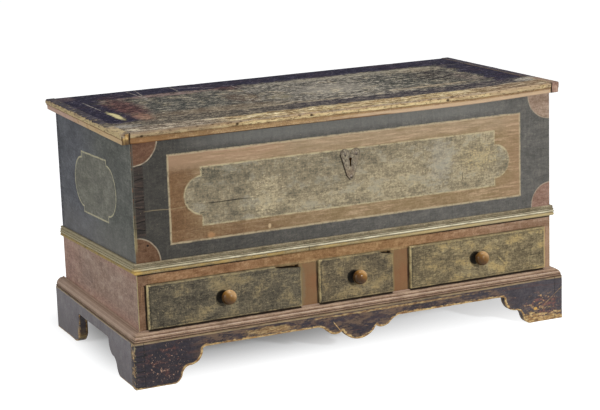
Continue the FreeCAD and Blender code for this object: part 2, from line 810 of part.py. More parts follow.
def build_nodes():
    nodes = {"front_board": front_board(), "side_board_left": side_board(-1),
             "side_board_right": side_board(1), "back_board_upper": back_board_upper(),
             "back_board_lower": back_board_lower(), "chest_floor": floor_blank(),
             "drawer_deck": deck_blank(), "drawer_rail": drawer_rail(),
             "divider_left": divider(divider_places[0]),
             "divider_right": divider(divider_places[1]),
             "partition_left": partition(divider_places[0]),
             "partition_right": partition(divider_places[1]),
             "drawer_guides": drawer_guides(),
             "bracket_front": bracket_front(), "bracket_left": bracket_left(),
             "bracket_right": mirrored(bracket_left()),
             "bracket_rear_left": bracket_rear_left(),
             "bracket_rear_right": mirrored(bracket_rear_left()), "glue_blocks": glue_blocks(),
             "escutcheon": escutcheon(), "escutcheon_nails": escutcheon_nails(),
             "lock_case": lock_case(), "lock_bolt": lock_bolt(), "lid_staple": lid_staple(),
             "lid_board": lid_board(), "hinge_pins": hinge_pins()}
    nodes["till_front"], nodes["till_bottom"] = till_boards()
    for name, (front, left) in (("base_moulding", base_mouldings()),
                                ("waist_moulding", waist_mouldings()),
                                ("lid_moulding", lid_mouldings())):
        nodes[name + "_front"] = front
        nodes[name + "_left"] = left
        nodes[name + "_right"] = mirrored(left)
    for name, x in (("left", -hinge_spread / 2), ("right", hinge_spread / 2)):
        nodes["hinge_strap_" + name] = hinge_strap(x)
        nodes["hinge_leaf_" + name] = hinge_leaf(x)
    half = divider_width / 2
    openings = (("left", -inner_half, divider_places[0] - half),
                ("middle", divider_places[0] + half, divider_places[1] - half),
                ("right", divider_places[1] + half, inner_half))
    for (name, x0, x1), chip_length in zip(openings, chip_lengths):
        for piece, shape in drawer_pieces(x0, x1, chip_length).items():
            nodes["drawer_%s_%s" % (name, piece)] = shape
    return nodes


for name, shape in build_nodes().items():
    if isinstance(shape, list):
        shape = Part.makeCompound(shape)
    shape.exportStep("parts/%s.step" % name)
    print(name, len(shape.Solids), "solid(s)", round(shape.Volume / 1000.0, 1), "cm3")
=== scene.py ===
import bpy
import bmesh
import math
import numpy as np
from mathutils import Matrix, Vector


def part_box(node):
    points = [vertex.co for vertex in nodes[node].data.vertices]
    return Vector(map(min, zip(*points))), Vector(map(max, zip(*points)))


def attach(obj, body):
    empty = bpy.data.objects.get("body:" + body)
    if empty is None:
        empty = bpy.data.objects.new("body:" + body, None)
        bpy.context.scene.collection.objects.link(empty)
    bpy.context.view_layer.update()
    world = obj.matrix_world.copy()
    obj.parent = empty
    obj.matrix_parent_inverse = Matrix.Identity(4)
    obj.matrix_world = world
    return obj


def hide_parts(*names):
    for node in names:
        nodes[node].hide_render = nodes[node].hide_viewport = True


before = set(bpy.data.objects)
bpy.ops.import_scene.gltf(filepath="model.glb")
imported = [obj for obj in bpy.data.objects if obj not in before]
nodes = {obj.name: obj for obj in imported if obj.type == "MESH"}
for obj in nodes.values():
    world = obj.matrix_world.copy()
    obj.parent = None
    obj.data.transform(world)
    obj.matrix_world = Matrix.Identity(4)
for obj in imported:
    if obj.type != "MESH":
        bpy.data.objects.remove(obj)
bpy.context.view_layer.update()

# Places that several pieces share, in metres, read from the nodes themselves.
boardLow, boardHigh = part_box("front_board")
lidLow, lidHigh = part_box("lid_board")
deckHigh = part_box("drawer_deck")[1]
caseHalf, caseFront, rim, railTop = boardHigh.x, boardLow.y, boardHigh.z, boardLow.z
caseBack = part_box("back_board_upper")[1].y
baseLow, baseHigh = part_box("bracket_front")[0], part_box("bracket_right")[1]
bracketTop, openingTop = baseHigh.z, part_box("divider_left")[1].z - 0.011
print("frame loaded:", len(nodes), "nodes")


def softNoise(points, size, seed, octaves=2):
    # value noise from -1 to 1: random numbers on a lattice of this size, blended with smooth steps
    total, weight = 0.0, 0.0
    for octave in range(octaves):
        share = 0.5 ** octave
        scaled = np.asarray(points, float) / size * 2 ** octave
        cell = np.floor(scaled).astype(np.int64)
        part = scaled - cell
        part = part * part * (3 - 2 * part)
        value = 0.0
        for dx in (0, 1):
            for dy in (0, 1):
                for dz in (0, 1):
                    key = ((cell[..., 0] + dx) * 73856093) ^ ((cell[..., 1] + dy) * 19349663)
                    key ^= ((cell[..., 2] + dz) * 83492791) ^ ((seed + octave * 17) * 2654435761)
                    key = ((key ^ (key >> 13)) * 1274126177) & 0x7FFFFFFF
                    corner = ((key >> 8) & 0xFFFF) / 32767.5 - 1
                    value = value + corner * (part[..., 0] if dx else 1 - part[..., 0]) \
                        * (part[..., 1] if dy else 1 - part[..., 1]) \
                        * (part[..., 2] if dz else 1 - part[..., 2])
        total, weight = total + value * share, weight + share
    return total / weight


def dents(points, size, seed, above=0.35):
    # 0 nearly everywhere, up to 1 in scattered spots: the part of the noise over a level
    return np.clip((softNoise(points, size, seed, 3) - above) / (1 - above), 0, 1)


def roundOver(gap, radius):
    # how far a rounded edge falls: radius less the root of radius squared less nearness squared
    into = np.clip(radius - gap, 0, radius)
    return radius - np.sqrt(np.maximum(radius ** 2 - into ** 2, 0))


def quads(rows, columns, closeRows, closeColumns, start):
    # corner numbers of the four-sided faces between neighbouring points
    i = np.arange(rows if closeRows else rows - 1)
    j = np.arange(columns if closeColumns else columns - 1)
    i, j = np.meshgrid(i, j, indexing="ij")
    i2, j2 = (i + 1) % rows, (j + 1) % columns
    corners = (i * columns + j, i * columns + j2, i2 * columns + j2, i2 * columns + j)
    return start + np.stack(corners, -1).reshape(-1, 4)


def makePiece(name, patches, body, finish, replaced=(), sharp=34):
    # joins grids of points into one closed mesh; a patch is a grid with its marks and its caps
    places, faces, marks, start = [], [], {}, 0
    for patch in patches:
        grid = np.asarray(patch["grid"], float)
        rows, columns = grid.shape[:2]
        wrap = patch.get("wrap", (False, False))
        faces += quads(rows, columns, wrap[0], wrap[1], start).tolist()
        for row in patch.get("caps", ()):
            faces.append((start + (row % rows) * columns + np.arange(columns)).tolist())
        places.append(grid.reshape(-1, 3))
        for mark, values in patch.get("marks", {}).items():
            marks.setdefault(mark, []).append((start, np.broadcast_to(values, (rows, columns)).ravel()))
        start += rows * columns
    mesh = bpy.data.meshes.new(name)
    mesh.from_pydata(np.concatenate(places).tolist(), [], faces)
    for mark, parts in marks.items():
        values = np.zeros(start, np.float32)
        for first, part in parts:
            values[first:first + len(part)] = part
        mesh.attributes.new(mark, "FLOAT", "POINT").data.foreach_set("value", values)
    work = bmesh.new()
    work.from_mesh(mesh)
    bmesh.ops.remove_doubles(work, verts=work.verts, dist=2e-5)
    bmesh.ops.dissolve_degenerate(work, edges=work.edges, dist=1e-6)
    bmesh.ops.recalc_face_normals(work, faces=work.faces)
    work.to_mesh(mesh)
    work.free()
    mesh.shade_smooth()
    mesh.set_sharp_from_angle(angle=math.radians(sharp))
    mesh.materials.append(finish)
    piece = bpy.data.objects.new(name, mesh)
    bpy.context.scene.collection.objects.link(piece)
    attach(piece, body)
    if replaced:
        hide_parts(*replaced)
    return piece


def arcPoints(start, middle, end, count):
    # points on the circle through three points: turn about its centre from start to end
    (ax, ay), (bx, by), (cx, cy) = start, middle, end
    d = 2 * (ax * (by - cy) + bx * (cy - ay) + cx * (ay - by))
    if abs(d) < 1e-12:
        return np.linspace(start, end, count)
    ux = ((ax**2 + ay**2) * (by - cy) + (bx**2 + by**2) * (cy - ay) + (cx**2 + cy**2) * (ay - by)) / d
    uy = ((ax**2 + ay**2) * (cx - bx) + (bx**2 + by**2) * (ax - cx) + (cx**2 + cy**2) * (bx - ax)) / d
    turn = [math.atan2(y - uy, x - ux) for x, y in (start, middle, end)]
    whole = (turn[2] - turn[0]) % (2 * math.pi)
    if (turn[1] - turn[0]) % (2 * math.pi) > whole:
        whole -= 2 * math.pi
    angles = turn[0] + whole * np.linspace(0, 1, count)
    radius = math.hypot(ax - ux, ay - uy)
    return np.stack([ux + radius * np.cos(angles), uy + radius * np.sin(angles)], -1)


def walk(start, moves, spacing):
    # polyline through end points and three-point arcs, divided to about this spacing
    line, here = [np.array([start], float)], tuple(start)
    for move in moves:
        if isinstance(move[0], tuple):
            middle, there = move
            length = math.dist(here, middle) + math.dist(middle, there)
            run = arcPoints(here, middle, there, max(3, int(length / spacing) + 2))
        else:
            there = move
            run = np.linspace(here, there, max(2, int(math.dist(here, there) / spacing) + 2))
        line.append(run[1:])
        here = tuple(there)
    return np.concatenate(line)


def lengthShare(line):
    # 0 to 1 along a polyline by its length
    steps = np.linalg.norm(np.diff(line, axis=0), axis=1)
    total = np.concatenate([[0.0], np.cumsum(steps)])
    return total / total[-1]


def distanceTo(points, line):
    # shortest distance from flat points to a polyline, over all its segments at once
    a, b = line[:-1], line[1:]
    along = b - a
    lengths = np.maximum((along ** 2).sum(-1), 1e-18)
    best = np.full(len(points), 1e9)
    for first in range(0, len(points), 4000):
        part = points[first:first + 4000, None, :]
        share = np.clip(((part - a) * along).sum(-1) / lengths, 0, 1)
        gap = np.linalg.norm(part - (a + share[..., None] * along), axis=-1)
        best[first:first + 4000] = gap.min(1)
    return best


def tone(text):
    # sRGB colour such as #7e7a66 as linear light
    parts = [int(text[i:i + 2], 16) / 255 for i in (1, 3, 5)]
    return tuple(p / 12.92 if p <= 0.04045 else ((p + 0.055) / 1.055) ** 2.4 for p in parts) + (1.0,)


class Value:
    # an output of a node; arithmetic with it adds a Math node to the same tree
    def __init__(self, paint, socket):
        self.paint, self.socket = paint, socket

    def __add__(self, other):
        return self.paint.calc("ADD", self, other)

    def __sub__(self, other):
        return self.paint.calc("SUBTRACT", self, other)

    def __rsub__(self, other):
        return self.paint.calc("SUBTRACT", other, self)

    def __mul__(self, other):
        return self.paint.calc("MULTIPLY", self, other)

    def __truediv__(self, other):
        return self.paint.calc("DIVIDE", self, other)

    def __abs__(self):
        return self.paint.calc("ABSOLUTE", self)

    __radd__, __rmul__ = __add__, __mul__


class Paint:
    # places nodes in one tree; an input takes a Value, a number, a tuple or a colour's text
    def __init__(self, tree):
        self.tree = tree

    def add(self, kind, inputs=None, **settings):
        node = self.tree.nodes.new(kind)
        for key, value in settings.items():
            setattr(node, key, value)
        for key, value in (inputs or {}).items():
            self.feed(node.inputs[key], value)
        return node

    def feed(self, socket, value):
        if isinstance(value, Value):
            self.tree.links.new(value.socket, socket)
        else:
            socket.default_value = tone(value) if isinstance(value, str) else value

    def value(self, output, kind, inputs=None, **settings):
        return Value(self, self.add(kind, inputs, **settings).outputs[output])

    def calc(self, kind, a, b=0.0):
        return self.value(0, "ShaderNodeMath", {0: a, 1: b}, operation=kind)

    def across(self, kind, a, b=(0, 0, 0), output=0):
        return self.value(output, "ShaderNodeVectorMath", {0: a, 1: b}, operation=kind)

    def use(self, group, inputs):
        node = self.add("ShaderNodeGroup", node_tree=bpy.data.node_groups[group])
        for key, value in inputs.items():
            self.feed(node.inputs[key], value)
        return outputsOf(self, node)

    def mark(self, name):
        return self.value(2, "ShaderNodeAttribute", attribute_name=name)


def outputsOf(paint, node):
    # all the outputs of a node, by their names
    return {socket.name: Value(paint, socket) for socket in node.outputs}


def paintOf(*values):
    return next(value.paint for value in values if isinstance(value, Value))


def most(first, *others):
    # the greatest of these
    for other in others:
        first = paintOf(first, other).calc("MAXIMUM", first, other)
    return first


def least(first, *others):
    # the smallest of these
    for other in others:
        first = paintOf(first, other).calc("MINIMUM", first, other)
    return first


def ease(value, low, high):
    # smooth step from 0 at low to 1 at high, either way round
    return value.paint.value(0, "ShaderNodeMapRange", {0: value, 1: low, 2: high},
                             interpolation_type="SMOOTHSTEP")


def near(value, centre, far, close):
    # 1 within close of the centre, 0 beyond far
    return ease(abs(value - centre), far, close)


def window(value, start, full, last, end):
    # rises from 0 at start to 1 at full, and falls from 1 at last to 0 at end
    return ease(value, start, full) * ease(value, end, last)


def blend(mask, under, over):
    # under where the mask is 0, over where it is 1
    return paintOf(mask, under, over).value(2, "ShaderNodeMix", {0: mask, 6: under, 7: over},
                                            data_type="RGBA")


def layers(colour, *coats):
    # lays coats of paint one over the other, each a mask and a colour
    for mask, shade in coats:
        colour = blend(mask, colour, shade)
    return colour


def ramp(value, *stops):
    # colours along a value, given as (position, colour) from low to high
    node = value.paint.add("ShaderNodeValToRGB", {0: value})
    steps = node.color_ramp.elements
    while len(steps) < len(stops):
        steps.new(0.5)
    for step, (position, shade) in zip(steps, stops):
        step.position = position
    for step, (position, shade) in zip(steps, stops):
        step.color = tone(shade)
    return Value(value.paint, node.outputs[0])


def split(vector):
    node = vector.paint.add("ShaderNodeSeparateXYZ", {0: vector})
    return [Value(vector.paint, socket) for socket in node.outputs]


def join(x, y, z):
    return paintOf(x, y, z).value(0, "ShaderNodeCombineXYZ", {0: x, 1: y, 2: z})


def noise(vector, stretch, detail=2.0, rough=0.55):
    # stretch is cycles in a metre along X, Y and Z
    scaled = vector.paint.across("MULTIPLY", vector, stretch)
    return vector.paint.value(0, "ShaderNodeTexNoise", {"Vector": scaled, "Scale": 1.0, "Detail": detail,
                                                        "Roughness": rough})


def newGroup(name, inputs, outputs):
    # a node group; give(label, value) joins a value to one of its outputs
    tree = bpy.data.node_groups.new(name, "ShaderNodeTree")
    for label, kind in inputs:
        tree.interface.new_socket(name=label, in_out="INPUT", socket_type="NodeSocket" + kind)
    for label in outputs:
        tree.interface.new_socket(name=label, in_out="OUTPUT", socket_type="NodeSocketFloat")
    paint = Paint(tree)
    start, end = paint.add("NodeGroupInput"), paint.add("NodeGroupOutput")
    return paint, outputsOf(paint, start), lambda label, value: paint.feed(end.inputs[label], value)


def buildGroups():
    # grain: long streaks along the vector's X, fine threads, broad blotches and small specks
    paint, given, give = newGroup("grain", [("Vector", "Vector")],
                                  ("Streak", "Thread", "Fine", "Blotch", "Speck"))
    give("Streak", noise(given["Vector"], (3.0, 80.0, 80.0), 5.0, 0.62))
    give("Thread", noise(given["Vector"], (14.0, 230.0, 230.0), 4.0, 0.65))
    give("Fine", noise(given["Vector"], (26.0, 640.0, 640.0), 3.0, 0.6))
    give("Blotch", noise(given["Vector"], (9.0, 11.0, 11.0), 5.0, 0.62))
    give("Speck", noise(given["Vector"], (420.0, 420.0, 420.0), 2.0, 0.6))

    # weather: how light a spot of old paint is, 0 to 1, from crossed strokes and mottling
    paint, given, give = newGroup("weather", [("Vector", "Vector"), ("Shift", "Float")],
                                  ("Level", "Cloud", "Height"))
    flow = noise(given["Vector"], (60.0, 240.0, 240.0), 6.0, 0.74)
    weft = noise(given["Vector"], (240.0, 240.0, 60.0), 6.0, 0.74)
    mottle = noise(given["Vector"], (180.0, 210.0, 210.0), 6.0, 0.78)
    cloud = noise(given["Vector"], (19.0, 30.0, 30.0), 7.0, 0.7)
    mixed = flow * 0.24 + (weft * 0.16 + mottle * 0.28)
    mixed = cloud * 0.32 + mixed + given["Shift"]
    give("Level", paint.value(0, "ShaderNodeMapRange", {0: mixed, 1: 0.38, 2: 0.62}))
    give("Cloud", cloud)
    give("Height", flow * 0.5 + mottle * 0.5)

    # handLine: 1 on a hand-drawn line at distance 0, its strength rubbed away in places
    paint, given, give = newGroup("handLine", [("Distance", "Float"), ("Width", "Float"),
                                               ("Vector", "Vector")], ("Mask",))
    sway = noise(given["Vector"], (28.0,) * 3, 2.0) * 0.003 - 0.0015
    gap = abs(given["Distance"] + sway)
    share = gap / given["Width"]
    worn = ease(noise(given["Vector"], (75.0,) * 3, 5.0, 0.7), 0.38, 0.54)
    kept = worn * 0.55 + 0.45
    give("Mask", ease(share, 0.8, 0.4) * kept)

    # softPatch: 1 inside an oval with a broken edge; Size holds its half axes
    paint, given, give = newGroup("softPatch", [("Vector", "Vector"), ("Centre", "Vector"),
                                                ("Size", "Vector"), ("Break", "Float")], ("Mask",))
    aside = paint.across("SUBTRACT", given["Vector"], given["Centre"])
    away = paint.across("DIVIDE", aside, given["Size"])
    reach = paint.across("LENGTH", away, output="Value")
    ragged = noise(given["Vector"], (55.0, 90.0, 90.0), 6.0, 0.72) - 0.5
    reach = ragged * given["Break"] + reach
    give("Mask", ease(reach, 1.35, 0.55))

    # rubbed: 1 at an edge and fading inwards over Reach, its limit ragged
    paint, given, give = newGroup("rubbed", [("Distance", "Float"), ("Reach", "Float"),
                                             ("Break", "Float"), ("Vector", "Vector")], ("Mask",))
    ragged = noise(given["Vector"], (70.0, 120.0, 120.0), 6.0, 0.72) - 0.5
    share = ragged * given["Break"] + given["Distance"] / given["Reach"]
    give("Mask", ease(share, 1.1, 0.5))

    # cartouche: distance to a rectangle joined to a disc at each end, below 0 inside
    paint, given, give = newGroup("cartouche", [(label, "Float") for label in (
        "U", "V", "Middle U", "Middle V", "Half U", "Half V",
        "Left U", "Left V", "Left R", "Right U", "Right V", "Right R")], ("Distance",))
    du = abs(given["U"] - given["Middle U"]) - given["Half U"]
    dv = abs(given["V"] - given["Middle V"]) - given["Half V"]
    result = most(du, dv)
    for end in ("Left", "Right"):
        u = given["U"] - given[end + " U"]
        v = given["V"] - given[end + " V"]
        away = paint.calc("SQRT", u * u + v * v)
        result = least(result, away - given[end + " R"])
    give("Distance", result)

    # pinLines: 1 on the joint lines of dovetail pins; Across is 0 at the narrow end and 1 at the root
    paint, given, give = newGroup("pinLines", [(label, "Float") for label in (
        "Along", "Across", "Pitch", "Narrow", "Wide")], ("Line", "Pin"))
    turns = given["Along"] / given["Pitch"] + 0.5
    gap = abs(paint.calc("FRACT", turns) - 0.5) * given["Pitch"]
    flare = (given["Wide"] - given["Narrow"]) * given["Across"]
    half = (given["Narrow"] + flare) * 0.5
    over = gap - half
    give("Line", ease(abs(over), 0.0019, 0.0007))
    give("Pin", ease(over, 0.0003, -0.0003))


buildGroups()


def newFinish(name):
    # an empty material; paint.place is a spot's own coordinates on the object
    material = bpy.data.materials.new(name)
    material.use_nodes = True
    material.node_tree.nodes.clear()
    paint = Paint(material.node_tree)
    paint.material = material
    paint.place = paint.value("Object", "ShaderNodeTexCoord")
    return paint


def closeFinish(paint, colour, roughness, height=None, bump=0.0006, strength=1.0, gloss=0.1, **constants):
    # ends a material with its shader, and a bump where a height is given
    shader = paint.add("ShaderNodeBsdfPrincipled", {"Base Color": colour, "Roughness": roughness})
    shader.inputs["Specular IOR Level"].default_value = gloss
    for label, value in constants.items():
        shader.inputs[label.replace("_", " ")].default_value = value
    if height is not None:
        bumps = paint.add("ShaderNodeBump", {"Strength": strength, "Distance": bump, "Height": height})
        paint.tree.links.new(bumps.outputs[0], shader.inputs["Normal"])
    output = paint.add("ShaderNodeOutputMaterial")
    paint.tree.links.new(shader.outputs[0], output.inputs[0])
    return paint.material


def patchAt(paint, centre, size, ragged=1.6):
    # ragged oval patch at a place in metres; a half axis of 9 leaves that direction free
    return paint.use("softPatch", {"Vector": paint.place, "Centre": centre, "Size": size,
                                   "Break": ragged})["Mask"]


def agedAndLevel(paint, vector, dark, middle, light, shift=0.0):
    # old paint in three shades of one colour, by how worn each spot is, and that wear itself
    level = paint.use("weather", {"Vector": vector, "Shift": shift})
    return ramp(level["Level"], (0.12, dark), (0.5, middle), (0.92, light)), level


def aged(*given):
    return agedAndLevel(*given)[0]


def drawnLine(paint, distance, width):
    # hand-drawn line where the distance is 0
    return paint.use("handLine", {"Distance": distance, "Width": width, "Vector": paint.place})["Mask"]


def rubbedFrom(paint, distance, reach, vector, ragged=6.0):
    # bare strip along an edge, by the distance from it
    given = {"Distance": distance, "Reach": reach, "Break": ragged, "Vector": vector}
    return paint.use("rubbed", given)["Mask"]


def pinLines(paint, along, across, pitch, wide):
    # the lines of a dovetailed joint along an edge
    return paint.use("pinLines", {"Along": along, "Across": across, "Pitch": pitch,
                                  "Narrow": pins["narrow"], "Wide": wide})


def cartoucheGap(paint, u, v, middle, half, first, last):
    # distance outward from a rectangle with a disc at each end
    given = {"U": u, "V": v, "Middle U": middle[0], "Middle V": middle[1],
             "Half U": half[0], "Half V": half[1]}
    for end, disc in (("Left", first), ("Right", last)):
        given.update({end + " U": disc[0], end + " V": disc[1], end + " R": disc[2]})
    return paint.use("cartouche", given)["Distance"]


def woodAndGrain(paint, vector, dark="#5f452b", light="#94744a"):
    # bare pine with its grain along the vector's X, and that grain itself
    grain = paint.use("grain", {"Vector": vector})
    colour = blend(ease(grain["Streak"], 0.36, 0.64), dark, light)
    colour = layers(colour,
        (ease(grain["Blotch"], 0.44, 0.64) * 0.5, "#7b5d3b"),
        (ease(grain["Thread"], 0.48, 0.62) * 0.35, light))
    return blend(ease(grain["Fine"], 0.5, 0.68) * 0.45, colour, "#43301e"), grain


def woodColour(*given):
    return woodAndGrain(*given)[0]


def makeBareWood(name, order, dark="#5f452b", light="#94744a"):
    # order says which of X, Y and Z the grain follows first
    paint = newFinish(name)
    parts = split(paint.place)
    vector = join(*[parts["XYZ".index(letter)] for letter in order])
    colour, grain = woodAndGrain(paint, vector, dark, light)
    rough = grain["Streak"] * 0.2 + 0.6
    return closeFinish(paint, colour, rough, grain["Fine"], 0.0004, 0.6)


pins = {"casePitch": (rim - railTop) / 6, "basePitch": bracketTop / 3, "narrow": 0.014, "wide": 0.024}

frontPaint = {
    "panel": (-0.5165, 0.519, 0.3665, 0.5975),        # left, right, bottom, top
    "cartouche": (-0.427, 0.438, 0.404, 0.557),
    "leftDisc": (-0.4245, 0.4845, 0.0505),
    "rightDisc": (0.4375, 0.472, 0.0465),
    "quadrants": ((-0.611, 0.648, 0.069), (0.615, 0.645, 0.069),
                  (-0.613, 0.327, 0.065), (0.617, 0.333, 0.061)),
    "cornerStrip": (0.608, 0.584),
    "crackHeight": 0.4600,
    # centre, half axes and how much lighter the cartouche is there
    "lights": (((-0.243, 0, 0.465), (0.045, 9, 0.045), 0.04),
               ((-0.12, 0, 0.43), (0.16, 9, 0.03), 0.03), ((0.12, 0, 0.47), (0.11, 9, 0.07), 0.03),
               ((0.46, 0, 0.47), (0.03, 9, 0.05), -0.03),
               ((-0.36, 0, 0.53), (0.09, 9, 0.03), -0.03), ((0.1, 0, 0.53), (0.2, 9, 0.03), -0.02)),
    # dark, middle and light shade of each quadrant, and how strong its outline is
    "quadrantLooks": ((("#493427", "#604434", "#795f4c"), 0.9),
                      (("#695443", "#897464", "#a59280"), 0.5),
                      (("#46311f", "#5d4331", "#765d48"), 0.6),
                      (("#654a3d", "#836759", "#9f8577"), 0.6)),
}


def discGap(paint, u, v, disc):
    # distance outward from a disc, given as its centre and radius
    du, dv = u - disc[0], v - disc[1]
    away = paint.calc("SQRT", du * du + dv * dv)
    return away - disc[2]


def within(gap, sway=0.0):
    # 1 inside a form, by the distance outward from it
    return ease(gap + sway, 0.0008, -0.0008)


plateLow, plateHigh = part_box("escutcheon")
plate = {"middle": (plateLow.x + plateHigh.x) / 2, "half": (plateHigh.x - plateLow.x) / 2,
         "top": plateHigh.z, "tall": plateHigh.z - plateLow.z,
         "nails": ((-0.016, 0.013), (0.016, 0.013), (0.0, 0.074))}


def plateEdges(x, z):
    # distances outward from the plate's left and right edges; with v from 0 at its top to 1 at its point,
    # its half width is the smaller of 1.17 - 0.92 v and 2.4 (1 - v) times half the plate
    down = z * (-1 / plate["tall"]) + plate["top"] / plate["tall"]
    reach = least(1.17 - down * 0.92, 2.4 - down * 2.4)
    reach = least(reach, 0.985) * plate["half"]
    aside = x - plate["middle"]
    low = window(down, 0.1, 0.16, 0.97, 1.02)
    off = 1.0 - low
    left = aside * -1.0 - reach
    right = aside - reach
    return left - off, right - off


def boxGap(x, z, box):
    # distance outward from a rectangle: the greater of the distances past its sides and past its ends
    left, right, low, high = box
    aside = abs(x - (left + right) / 2) - (right - left) / 2
    return most(aside, abs(z - (low + high) / 2) - (high - low) / 2)


def panelColour(paint, x, z, blotch):
    # tan, redder at the left and low down, and brushed along X
    brown = aged(paint, paint.place, "#533a26", "#6a4f36", "#82684c")
    tan = aged(paint, paint.place, "#6c5a41", "#836e51", "#9b8669")
    redness = most(ease(x, -0.36, -0.5), ease(z, 0.43, 0.38) * ease(x, 0.0, -0.4) * 0.8)
    panel = blend(redness, tan, brown)
    panel = layers(panel,
        (ease(z, 0.54, 0.58) * 0.5, "#a08c74"),
        (ease(blotch * 0.2 + x, 0.53, 0.62) * 0.5, "#90735a"),
        (ease(blotch * 0.3 + x, 0.0, -0.12) * ease(z, 0.55, 0.58) * 0.4, "#a07c62"),
        (patchAt(paint, (-0.406, 0, 0.376), (0.01, 9, 0.008)) * 0.45, "#b98a5e"),
        (patchAt(paint, (-0.241, 0, 0.378), (0.004, 9, 0.006)) * 0.6, "#d0b790"))
    brushed = noise(paint.place, (16.0, 1.0, 150.0), 5.0, 0.74)
    rubbedOff = 1.0 - redness * 0.85
    return layers(panel,
        (ease(brushed, 0.48, 0.38) * rubbedOff * 0.5, "#7a6748"),
        (ease(brushed, 0.52, 0.62) * rubbedOff * 0.4, "#bda184"))


def cartoucheColour(paint, x, blotch):
    # lighter and darker places in the cartouche, and its pale flecks
    shift = ease(x, -0.1, 0.45) * 0.035
    for centre, size, gain in frontPaint["lights"]:
        shift = patchAt(paint, centre, size, 2.5) * gain + shift
    inner, wear = agedAndLevel(paint, paint.place, "#4c4a3f", "#7b705b", "#b0a282", shift)
    cool = ease(wear["Cloud"], 0.5, 0.62) * 0.45
    inner = layers(inner,
        (cool, "#77776e"),
        (patchAt(paint, (0.27, 0, 0.49), (0.035, 9, 0.07), 3.4) * 0.28, "#a19e93"))
    ochre = patchAt(paint, (0.39, 0, 0.488), (0.06, 9, 0.035), 3.0)
    inner = blend(ochre * ease(wear["Level"], 0.45, 0.8) * 0.3, inner, "#a89360")
    flecks = ease(noise(paint.place, (110.0, 110.0, 200.0), 5.0, 0.78), 0.57, 0.64)
    inner = layers(inner,
        (flecks * patchAt(paint, (-0.243, 0, 0.462), (0.05, 9, 0.055), 1.6) * 0.8, "#d8c6a0"),
        (flecks * ease(blotch, 0.48, 0.6) * 0.5, "#c4b592"),
        (flecks * ochre * 0.6, "#c0a76f"))
    return inner, flecks


def cornerColour(paint, colour, x, z, blotch, thread):
    # the corner joint shows through the paint as a dark strip with fine lines
    across = ease(abs(x), caseHalf, caseHalf - 0.028)
    joint = pinLines(paint, z - railTop, across, pins["casePitch"], pins["wide"])
    outerEdge, innerEdge = frontPaint["cornerStrip"]
    strip = ease(x, -innerEdge + 0.0012, -innerEdge - 0.0008) * window(z, 0.39, 0.4, 0.574, 0.582)
    dark = ramp(thread, (0.36, "#191412"), (0.5, "#2d2522"), (0.64, "#4d3d35"))
    colour = blend(strip * 0.7, colour, dark)
    nearEdge = ease(abs(x), caseHalf - 0.0315, caseHalf - 0.0295)
    colour = blend(joint["Line"] * nearEdge * (strip * 0.75 + 0.15), colour, "#0d0b0a")
    ticks = ease(noise(paint.place, (30.0, 30.0, 260.0), 3.0, 0.6), 0.58, 0.66)
    colour = blend(ticks * strip * 0.8, colour, "#0d0b0a")
    dots = ease(abs(x + (innerEdge - 0.0015)), 0.0026, 0.0012)
    dots = dots * ease(noise(paint.place, (1.0, 1.0, 150.0), 2.0, 0.5), 0.52, 0.6) * strip
    colour = blend(dots, colour, "#080707")
    corner = (ease(x, -outerEdge + 0.0008, -outerEdge - 0.0012) * ease(blotch, 0.3, 0.55)
              * (ease(z, 0.345, 0.375) * 0.85 + 0.15))
    colour = blend(corner * 0.7, colour, blend(ease(z, 0.5, 0.36), "#4d4c45", "#8b7f5c"))
    splinter = noise(paint.place, (20.0, 20.0, 90.0), 4.0, 0.7) * 0.006 + x
    splinter = ease(splinter, -0.6085, -0.6105) * ease(z, 0.37, 0.45)
    orange = ease(noise(paint.place, (60.0, 60.0, 60.0), 4.0, 0.7), 0.52, 0.6)
    colour = blend(splinter * 0.9, colour, blend(orange * 0.8, "#120c0a", "#85502f"))
    return colour, joint["Line"] * nearEdge


def crackColour(paint, colour, x, z, thread):
    # a long crack, painted shade beside the plate's edges, an upright scratch and a nail hole
    crack = z - frontPaint["crackHeight"]
    crack = crack + (noise(paint.place, (10.0,) * 3) * 0.012 - 0.006)
    crackLine = ease(abs(crack), 0.0017, 0.0006)
    crackDark = crackLine * window(x, -0.44, -0.4, -0.33, -0.27)
    colour = blend(crackDark * 0.95, colour, "#1f1c17")
    crackPale = crackLine * window(x, -0.59, -0.583, -0.48, -0.44) * ease(thread, 0.4, 0.52)
    colour = blend(crackPale * 0.45, colour, "#9a8868")
    plateLeft, plateRight = plateEdges(x, z)
    # painted shade along the plate's left edge, weaker along its right
    plateLeftShade = window(plateLeft, -0.004, -0.001, 0.0014, 0.0026)
    plateRightShade = window(plateRight, -0.004, -0.001, 0.0006, 0.0016) * 0.5
    colour = blend(most(plateLeftShade, plateRightShade) * 0.93, colour, "#22170d")
    upright = near(x, 0.337, 0.0015, 0.0006) * window(z, 0.43, 0.434, 0.45, 0.457)
    colour = blend(upright * 0.7, colour, "#3b372d")
    hole = patchAt(paint, (-0.581, 0, 0.3705), (0.0034, 9, 0.0030), 0.0)
    return blend(hole, colour, "#0b0908"), most(crackDark, hole)


